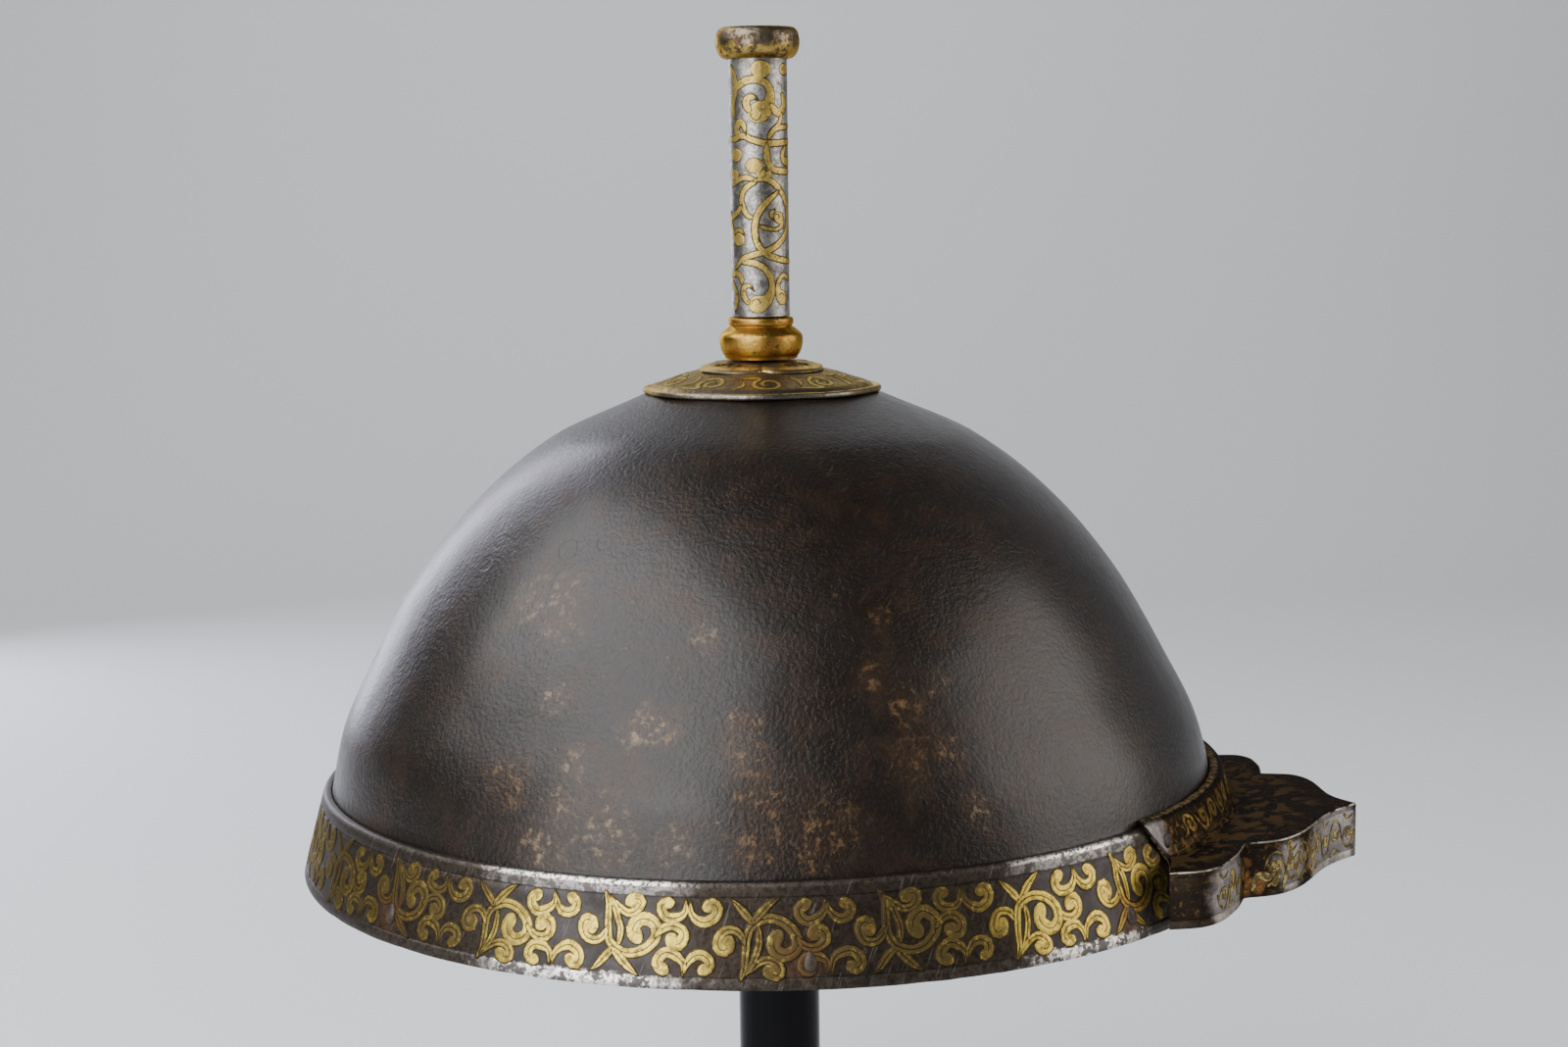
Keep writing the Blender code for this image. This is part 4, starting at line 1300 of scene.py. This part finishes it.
KNOP_GILT = make_gilding("knop", (0.37, 0.225, 0.048), (0.22, 0.075, 0.016), (5.0, 0.42),
                         (1.3, 0.30))
RING_GILT = make_gilding("mouth ring", (0.40, 0.27, 0.075), (0.20, 0.12, 0.04), (2.6, 0.42),
                         (1.7, 0.44), grey=(0.42, 0.80))
PLATE_GILT = make_gilding("plate", (0.19, 0.17, 0.145), (0.10, 0.085, 0.066), (2.2, 0.46),
                          (1.0, 0.32), rim=(0.44, 0.60), grit=0.6)
PETAL_GILT = make_gilding("petals", (0.30, 0.23, 0.115), (0.17, 0.155, 0.13), (2.5, 0.5),
                          (1.0, 0.30), rim=(0.38, 0.60), grit=0.6)

# %% [markdown]
# Plate and petals
#
# A thin domed plate, worn to a soft octagon, caps the crown, with a smaller petalled plate on
# it. Both follow the bowl's own curve a hair above it, so they are turned from that curve, and
# the petals come from a radius that dips at four cusps.

# %% Plate and petals
PLATE_RADIUS = 30.3
PLATE_WALL = 0.9
PLATE_EDGE = 1.7
PETAL_RADIUS = 17.3
PETAL_NOTCH = 3.2
PETAL_WALL = 0.7
PETALS = 4
CROWN_ROWS = sorted((radius, height) for height, radius in BOWL_ROWS)


def plate_under(radius):
    return monotone(CROWN_ROWS, radius) + GAP


PLATE_RIM = plate_under(PLATE_RADIUS) + 0.1
# The rolled edge: mm over the rim's foot, mm inside the plate's radius
PLATE_LIP = ((1.46, 2.0), (1.30, 1.6), (1.60, 1.2), (1.74, 0.7), (1.60, 0.25), (1.25, 0.0),
             (0.7, -0.02), (0.3, 0.15), (0.12, 0.6))


def plate_top(radius):
    start = 0.79 * PLATE_RADIUS
    end = PLATE_RADIUS - 0.4 * PLATE_EDGE
    if radius <= start:
        return plate_under(radius) + PLATE_WALL
    mix = (radius - start) / (end - start)
    low = plate_under(start) + PLATE_WALL
    return low + (PLATE_RIM + PLATE_EDGE - low) * mix


def plate_place(angle, radius, height):
    eighth = math.cos(4.0 * (angle - math.radians(11.0))) ** 2
    squeeze = 1.0 - 0.022 * (1.0 - eighth) * (radius / PLATE_RADIUS) ** 4
    point = on_helmet(angle, radius * squeeze, height)
    outer = smooth_step(0.8, 1.0, radius / PLATE_RADIUS)
    return on_helmet(angle, radius * squeeze, height + 0.12 * bump_noise(point, 9.0) * outer)


def petal_place(angle, radius, height):
    phase = (angle / (2 * math.pi) * PETALS - 0.16) % 1.0
    lobe = math.sin(math.pi * phase) ** 0.55
    return on_helmet(angle, radius * (1.0 - PETAL_NOTCH / PETAL_RADIUS * (1.0 - lobe)), height)


def petal_under(radius):
    return plate_under(radius) + PLATE_WALL + GAP


plate_rows = [(plate_top(r), r) for r in (0.0, 4.0, 8.0, 12.0, 15.0, 18.0, 21.0, 23.9, 26.0, 27.6)]
plate_rows += [(PLATE_RIM + up, PLATE_RADIUS - inward) for up, inward in PLATE_LIP]
plate_rows += [(plate_under(r), r) for r in (24.0, 18.0, 12.0, 6.0, 0.0)]
turned("plate_skin", "finial_plate", plate_rows, 192, plate_place, PLATE_GILT, "gilding", 50.0)

petal_rows = [(petal_under(r) + PETAL_WALL, r) for r in (0.0, 4.0, 8.0, 11.0, 13.3)]
petal_rows += [(petal_under(14.6) + 0.66, 14.9), (petal_under(15.6) + 0.46, 15.7),
               (petal_under(16.2) + 0.66, 16.2), (petal_under(16.8) + 0.56, 16.8),
               (petal_under(17.0) + 0.2, 17.25), (petal_under(17.0) - 0.14, 17.2),
               (petal_under(15.0), 15.2), (petal_under(8.0), 8.0), (petal_under(0.0), 0.0)]
turned("petals_skin", "finial_petals", petal_rows, 240, petal_place, PETAL_GILT, "gilding", 50.0)

# %% [markdown]
# Knop, tube and mouth ring
#
# The knop and the mouth ring were turned, so each is one profile through a few measured sizes,
# smoothed and spun. The tube is a straight pipe with an open bore for the plume.

# %% Knop, tube, ring
KNOP_RADIUS = 10.55
KNOP_HEIGHT = 10.4
KNOP_PROFILE = [(1.0, .730), (.97, .770), (.90, .782), (.83, .772), (.795, .745), (.765, .775),
                (.70, .860), (.61, .960), (.52, 1.0), (.38, .998), (.24, .972), (.13, .930),
                (.07, .880), (0.0, .862)]
TUBE_RADIUS = 7.35
TUBE_WALL = 1.25
TUBE_LENGTH = 71.0
TUBE_FLOOR = 3.0
RING_RADIUS = 10.5
RING_HEIGHT = 7.8
RING_PROFILE = [(0.0, .04), (.03, .34), (.12, .66), (.26, .88), (.46, 1.0), (.66, .99),
                (.84, .88), (.95, .68), (1.0, .42), (.97, .16)]

knop_foot = petal_under(0.0) + PETAL_WALL + GAP
knop_rows = [(knop_foot + KNOP_HEIGHT, 0.0)]
knop_rows += [(knop_foot + p.x * KNOP_HEIGHT, p.y * KNOP_RADIUS) for p in refine(KNOP_PROFILE, 4)]
knop_rows.append((knop_foot, 0.0))


def knop_place(angle, radius, height):
    point = on_helmet(angle, radius, height)
    return on_helmet(angle, radius + 0.10 * bump_noise(point, 6.0) * min(1.0, radius / 6.0), height)


turned("knop_skin", "finial_knop", knop_rows, 128, knop_place, KNOP_GILT, "gilding", 42.0)


def tube_profile(foot):
    """(height, radius) up the outside, over the mouth and down the bore to its floor."""
    top = foot + TUBE_LENGTH
    bore = TUBE_RADIUS - TUBE_WALL
    rows = [(foot, 0.0), (foot, TUBE_RADIUS - 0.1), (foot + 0.1, TUBE_RADIUS)]
    rows += [(foot + TUBE_LENGTH * k / 40, TUBE_RADIUS) for k in range(1, 40)]
    return rows + [(top - 0.2, TUBE_RADIUS), (top, TUBE_RADIUS - 0.2), (top, bore + 0.2),
                   (top - 0.2, bore), (foot + TUBE_FLOOR, bore), (foot + TUBE_FLOOR, 0.0)]


def make_tube_silver():
    silver = Finish("bright mottled silver", 0.95, (0.13, 0.119, 0.106))
    fine = silver.effect(SPECKLE, 0.7, 0.46, 0.06, 62.0)
    pits = silver.effect(SPECKLE, 1.6, 0.17, 0.05, 63.0)
    silver.lay(silver.effect(SPECKLE, 3.2, 0.55, 0.08, 61.0), (0.31, 0.296, 0.273))
    silver.lay(fine * 0.50, (0.11, 0.095, 0.085))
    silver.lay(pits * 0.9, (0.05, 0.036, 0.028))
    height = silver.effect(FORGED, 0.6, 2.0, 0.9) - pits * 0.5
    return silver.surface(0.34 + fine * 0.12, height, 0.7, 0.12)


tube_foot = knop_foot + KNOP_HEIGHT + GAP
turned("tube_skin", "plume_tube", tube_profile(tube_foot), 96, on_helmet, make_tube_silver(),
       "damascened_iron")

ring_foot = tube_foot + TUBE_LENGTH - 0.9 * RING_HEIGHT
ring_bore = TUBE_RADIUS + GAP
ring_rows = [(ring_foot, ring_bore)]
ring_rows += [(ring_foot + p.x * RING_HEIGHT, ring_bore + p.y * (RING_RADIUS - ring_bore))
              for p in refine(RING_PROFILE, 5)]
ring_rows.append((ring_foot + 0.88 * RING_HEIGHT, ring_bore))
turned("mouth_ring_skin", "tube_mouth", ring_rows, 128, knop_place, RING_GILT, "gilding", 50.0,
       closed=True)

# %% [markdown]
# Scrolls of the tube
#
# A vine climbs the tube: a large S-shaped loop, an arch above it and hooked leaves, drawn in mm
# round the tube from the side seen first and up from its foot. It is drawn twice, once for each
# half of the tube.

# %% Tube scrolls
VINE = [
    ([(-6.7, 55.8), (-5.2, 57.4), (-2.4, 58.6), (0.3, 58.6), (2.4, 57.3), (3.2, 54.8),
      (2.2, 52.2), (0.2, 50.7)], 2.75, BULB),
    ([(-8.3, 62.1), (-6.5, 58.8), (-6.6, 55.8), (-7.5, 52.1), (-7.0, 49.8)], 0.9, STEM),
    ([(3.4, 52.4), (5.0, 50.6), (7.1, 51.3), (7.8, 53.1), (7.0, 55.0)], 1.1, STEM),
    ([(6.7, 50.3), (5.7, 47.8), (3.6, 46.1), (2.4, 44.1)], 0.7, STEM),
    ([(2.4, 44.1), (3.6, 46.0), (5.7, 46.9), (10.6, 47.2)], 0.7, STEM),
    ([(-9.4, 44.4), (-7.0, 44.2), (-4.0, 44.9), (-1.7, 44.0), (1.7, 43.1), (6.0, 43.2),
      (11.2, 43.6)], 0.85, STEM),
    ([(-5.5, 45.1), (-6.2, 46.8), (-5.0, 48.4), (-3.8, 47.4), (-3.2, 45.1)], 1.05, LEAF),
    ([(2.0, 42.8), (2.0, 40.1), (2.4, 38.1), (4.4, 36.4), (10.6, 36.1)], 0.85, STEM),
    ([(8.9, 42.4), (6.9, 40.9), (7.1, 38.9), (9.6, 38.5)], 0.8, COMMA),
    ([(-8.3, 32.7), (-6.2, 33.9), (-3.6, 34.6), (-1.0, 34.1)], 0.75, STEM),
    ([(-1.0, 33.4), (-3.6, 32.1), (-4.8, 29.7), (-4.4, 27.4), (-3.2, 25.4), (-1.6, 24.6)],
     0.8, STEM),
    ([(-4.8, 27.7), (-6.2, 26.1), (-8.7, 24.4)], 0.75, STEM),
    ([(-1.0, 33.9), (1.7, 34.2), (4.4, 32.7), (7.2, 29.7), (8.9, 26.1), (8.5, 22.0),
      (5.7, 18.7), (2.4, 16.7), (-1.0, 15.7), (-4.4, 14.6), (-7.3, 12.0)], 0.85, STEM),
    ([(5.0, 31.1), (1.7, 28.4), (-0.5, 25.4), (-1.3, 22.0), (-0.6, 18.4), (1.7, 15.6),
      (6.0, 14.2), (10.8, 13.7)], 0.88, STEM),
    ([(-0.1, 22.8), (2.1, 22.0), (4.6, 21.8), (6.3, 23.0), (5.2, 24.6)], 1.5, BULB),
    ([(3.4, 24.4), (2.9, 25.6), (3.9, 26.6)], 0.55, STEM),
    ([(-9.6, 26.0), (-9.0, 23.2), (-7.6, 20.6), (-5.9, 19.6)], 1.85, BULB),
    ([(-4.4, 20.8), (-5.2, 21.7), (-6.7, 21.5), (-7.2, 20.7)], 0.6, STEM),
    ([(-4.4, 13.7), (-1.4, 13.5), (1.0, 12.2), (2.6, 9.7), (2.9, 6.7), (1.6, 4.2),
      (-0.7, 3.2)], 2.3, BULB),
    ([(-3.4, 3.8), (-4.5, 5.2), (-4.7, 6.6), (-3.9, 7.8), (-2.5, 7.7), (-1.7, 6.6)],
     0.85, LEAF),
    ([(8.9, 9.2), (6.9, 10.4), (5.0, 9.0), (4.6, 6.6), (5.9, 4.9)], 1.9, BULB),
    ([(-9.1, 10.2), (-6.9, 11.0), (-5.4, 10.0), (-5.0, 8.4)], 0.8, STEM),
    ([(-8.7, 8.7), (-6.9, 5.3), (-7.7, 1.6)], 0.7, STEM),
    ([(-2.6, 51.6), (-3.3, 53.0), (-2.5, 54.3), (-1.1, 54.4), (0.0, 53.7)], 1.05, LEAF),
]
VINE_DISCS = [(0.7, 61.2, 2.3), (7.7, 61.2, 1.5), (-6.4, 40.2, 1.75), (-7.1, 35.5, 1.4),
              (-1.2, 37.5, 2.0), (1.3, 35.5, 1.7)]
VINE_HOOKS = [
    [(-1.9, 49.9), (-1.2, 48.9), (0.2, 49.0), (0.7, 50.3)],
    [(-2.3, 3.2), (-1.8, 4.4), (-0.6, 4.5), (0.0, 3.4)],
    [(0.2, 36.0), (1.2, 36.8), (2.3, 36.1)],
    [(3.9, 25.4), (4.9, 25.6), (5.4, 24.6)],
    [(5.0, 5.4), (5.8, 6.0), (6.7, 5.2)],
]


def on_tube(turn):
    def place(u, v, lift):
        angle = VIEW_ANGLE + turn + u / TUBE_RADIUS
        return on_helmet(angle, TUBE_RADIUS + lift, tube_foot + v)

    return place


def disc(x, y, radius):
    return [(x - 0.06, y), (x + 0.06, y)], radius, DISC


vine = VINE + [disc(*spot) for spot in VINE_DISCS]
stroke_piece("tube_scrolls", [(vary(points, 3.0 * half, 0.1), wide + 0.24, shape,
                               on_tube(math.pi * half))
                              for half in (0, 1) for points, wide, shape in vine], TUBE_GOLD)
stroke_piece("tube_cuts", [(points, 0.16, STEM, on_tube(math.pi * half))
                           for half in (0, 1) for points in VINE_HOOKS],
             RUSSET_IRON, "russet_iron", proud=0.13)

# %% [markdown]
# Scrolls of the plate
#
# Thin-lined spirals circle the plate and smaller ones fill the petals. Each spiral is worked out
# from its centre, size and turns, so the same few lines of code draw them all.

# %% Plate scrolls
def on_dome(turn, base, top, put):
    """Drawing plane of a dome: x mm round it at the base radius, y mm outward from there."""
    def place(x, y, lift):
        radius = base + y
        angle = turn + x / base
        spot = put(angle, radius, top(radius))
        return spot + Vector((0.0, 0.0, lift * MM))

    return place


def petal_top(radius):
    return petal_under(radius) + PETAL_WALL


PLATE_SPIRALS = 10
plate_strokes = []
for k in range(PLATE_SPIRALS):
    turn = VIEW_ANGLE + math.radians(360.0 * k / PLATE_SPIRALS + 4.0)
    place = on_dome(turn, 23.0, plate_top, plate_place)
    hand = 1.0 if k % 2 else -1.0
    plate_strokes.append((spiral((0.0, 0.2), 3.9, 1.5, 120.0 * hand, hand, (-8.2, 3.2 * hand)),
                          0.80, STEM, place))
    plate_strokes.append(([(-7.6, -3.4 * hand), (-6.0, -0.6 * hand), (-7.2, 2.6 * hand)], 0.75,
                          LEAF, place))
PLATE_GOLD = make_gold_inlay("gold lines of the plate", (0.46, 0.34, 0.115), 0.34, 0.34)
stroke_piece("plate_scrolls", plate_strokes, PLATE_GOLD, proud=0.08)
petal_strokes = []
for k in range(PETALS):
    turn = 2.0 * math.pi * (k + 0.66) / PETALS
    place = on_dome(turn, 12.6, petal_top, on_helmet)
    for hand in (-1.0, 1.0):
        petal_strokes.append((spiral((2.9 * hand, 0.2), 1.9, 1.1, 180.0 * (hand > 0) - 60.0 * hand,
                                     hand, (0.2 * hand, -1.8)), 0.36, STEM, place))
stroke_piece("petal_scrolls", petal_strokes, TUBE_GOLD, section=LINED, proud=0.11)

# %% [markdown]
# The stand
#
# The helmet rests on a turned black stand of which the picture shows only the pole. Gloss paint
# over wood: a dark coat with a clear, slightly uneven gloss.

# %% Stand
POLE_RADIUS = 10.5
HEAD_RADIUS = 41.6
HEAD_DEPTH = 18.0
BASE_RADIUS = 85.0
BASE_HEIGHT = 12.0
BASE_ROUNDING = 4.0


def make_black_paint():
    paint = Finish("gloss black paint", 0.0, (0.003, 0.003, 0.004), coat=0.05,
                   coat_roughness=0.10, specular=0.05)
    dust = paint.effect(SPECKLE, 2.0, 0.18, 0.06, 71.0)
    paint.lay(dust * 0.35, (0.020, 0.019, 0.019))
    return paint.surface(0.16 + dust * 0.2, paint.effect(FORGED, 3.0, 14.0, 1.0), 0.25, 0.06)


BLACK_PAINT = make_black_paint()


def stand_place(angle, radius, height):
    return Vector((radius * math.sin(angle) * MM, -radius * math.cos(angle) * MM, height * MM))


def turned_stand(node, rows, segments, place):
    turned(node + "_skin", node, rows, segments, place, BLACK_PAINT, "black_paint")


inside_crown = sorted((radius, height) for height, radius in inside if height > 0.5 * BOWL_HEIGHT)


def head_top(radius):
    """Just under the inside of the crown, which rests on it."""
    return monotone(inside_crown, radius) - 1.5 * GAP - 0.15


seat = head_top(HEAD_RADIUS)
turned_stand("stand_head",
             [(head_top(r), r) for r in (0.0, 8.0, 16.0, 24.0, 32.0, 38.0, HEAD_RADIUS - 1.0)]
             + [(seat - 0.9, HEAD_RADIUS - 0.2), (seat - 2.0, HEAD_RADIUS),
                (seat - 12.5, HEAD_RADIUS), (seat - 13.4, HEAD_RADIUS - 0.4),
                (seat - 14.0, HEAD_RADIUS - 1.6), (seat - HEAD_DEPTH, 17.0),
                (seat - HEAD_DEPTH, 0.0)], 128, on_helmet)
top = RIM + seat - HEAD_DEPTH - GAP
turned_stand("stand_pole",
             [(top, 0.0), (top, POLE_RADIUS - 0.3), (top - 0.3, POLE_RADIUS),
              (BASE_HEIGHT + 0.6, POLE_RADIUS), (BASE_HEIGHT + GAP, POLE_RADIUS - 0.3),
              (BASE_HEIGHT + GAP, 0.0)], 96, stand_place)
turned_stand("stand_base",
             [(BASE_HEIGHT, 0.0), (BASE_HEIGHT, 60.0), (BASE_HEIGHT, BASE_RADIUS - BASE_ROUNDING)]
             + [(BASE_HEIGHT - BASE_ROUNDING * (1.0 - math.cos(math.radians(a))),
                 BASE_RADIUS - BASE_ROUNDING * (1.0 - math.sin(math.radians(a))))
                for a in (20, 40, 60, 75, 90)]
             + [(0.6, BASE_RADIUS), (0.0, BASE_RADIUS - 0.6), (0.0, 0.0)], 160, stand_place)

# %% [markdown]
# The studio
#
# Dark glossy iron shows little but the lamps, so their places matter more than their strength:
# a wide box high on the left with a lower one beside the camera gives the bright column with its
# slanting edge, a square one on the right gives the softer column, and a cool strip behind on
# the left draws the edge of the bowl. The floor is a pale sheet that curves
# up behind the helmet.

# %% Studio
FRONT = 7.0
HALF_WIDTH = 8.0
BEND_START = 1.3
BEND = 0.9
BACK_HEIGHT = 6.0
HELMET_MIDDLE = Vector((0.0, 0.0, 0.215))


def softbox(name, turn_deg, up_deg, distance, width, tall, power, colour, aim=None):
    """A soft lamp, so far round from the camera and so far up, turned to face the helmet."""
    lamp = bpy.data.lights.new(name, "AREA")
    lamp.shape = "RECTANGLE"
    lamp.size = width
    lamp.size_y = tall
    lamp.energy = power
    lamp.color = colour
    spot = bpy.data.objects.new(name, lamp)
    bpy.context.scene.collection.objects.link(spot)
    up = math.radians(up_deg)
    away = direction(VIEW_ANGLE + math.radians(turn_deg)) * math.cos(up)
    away.z = math.sin(up)
    spot.location = HELMET_MIDDLE + away * distance
    spot.rotation_euler = (aim or -away).to_track_quat("-Z", "Y").to_euler()


def make_sweep():
    """A pale floor that curves up into a backdrop behind the helmet."""
    bm = bmesh.new()
    back = -direction(VIEW_ANGLE)
    side = Vector((math.cos(VIEW_ANGLE), math.sin(VIEW_ANGLE), 0.0))
    turns = [0.5 * math.pi * k / 16 for k in range(17)]
    line = [(BEND_START + BEND * math.sin(a), BEND * (1.0 - math.cos(a))) for a in turns]
    rows = [[bm.verts.new(back * along + side * x + Vector((0.0, 0.0, up)))
             for x in (-HALF_WIDTH, HALF_WIDTH)]
            for along, up in [(-FRONT, 0.0)] + line + [(BEND_START + BEND, BACK_HEIGHT)]]
    for a, b in zip(rows, rows[1:]):
        bm.faces.new((a[0], a[1], b[1], b[0]))
    mesh = bpy.data.meshes.new("studio_sweep")
    bm.to_mesh(mesh)
    bm.free()
    mesh.shade_smooth()
    paper = Finish("pale paper", 0.0, (0.62, 0.63, 0.65))
    plug(paper.shader["Base Color"], paper.colour)
    plug(paper.shader["Roughness"], 0.85)
    mesh.materials.append(paper.material)
    sweep = bpy.data.objects.new("studio_sweep", mesh)
    bpy.context.scene.collection.objects.link(sweep)


softbox("high left softbox", -60.0, 48.0, 1.3, 2.0, 0.95, 42.0, (0.96, 0.98, 1.0))
softbox("low left softbox", -35.0, 11.0, 1.3, 1.1, 0.8, 18.0, (0.96, 0.98, 1.0))
softbox("right softbox", 82.0, 18.0, 1.2, 0.95, 0.9, 11.5, (1.0, 0.96, 0.92))
softbox("left rim strip", -148.0, 18.0, 1.2, 0.22, 1.0, 6.0, (0.84, 0.85, 1.0))
softbox("backdrop light", 180.0, 60.0, 2.3, 1.4, 0.5, 22.0, (1.0, 1.0, 1.0),
        aim=-direction(VIEW_ANGLE) - Vector((0.0, 0.0, 0.55)))
world = bpy.data.worlds.new("studio")
bpy.context.scene.world = world
world.use_nodes = True
background = world.node_tree.nodes["Background"].inputs
plug(background[0], (0.62, 0.64, 0.68))
plug(background[1], 0.045)
make_sweep()

# %% [markdown]
# The end
#
# The dressed helmet has to fill the same box as the solid model.

# %% The end
print("scene built")
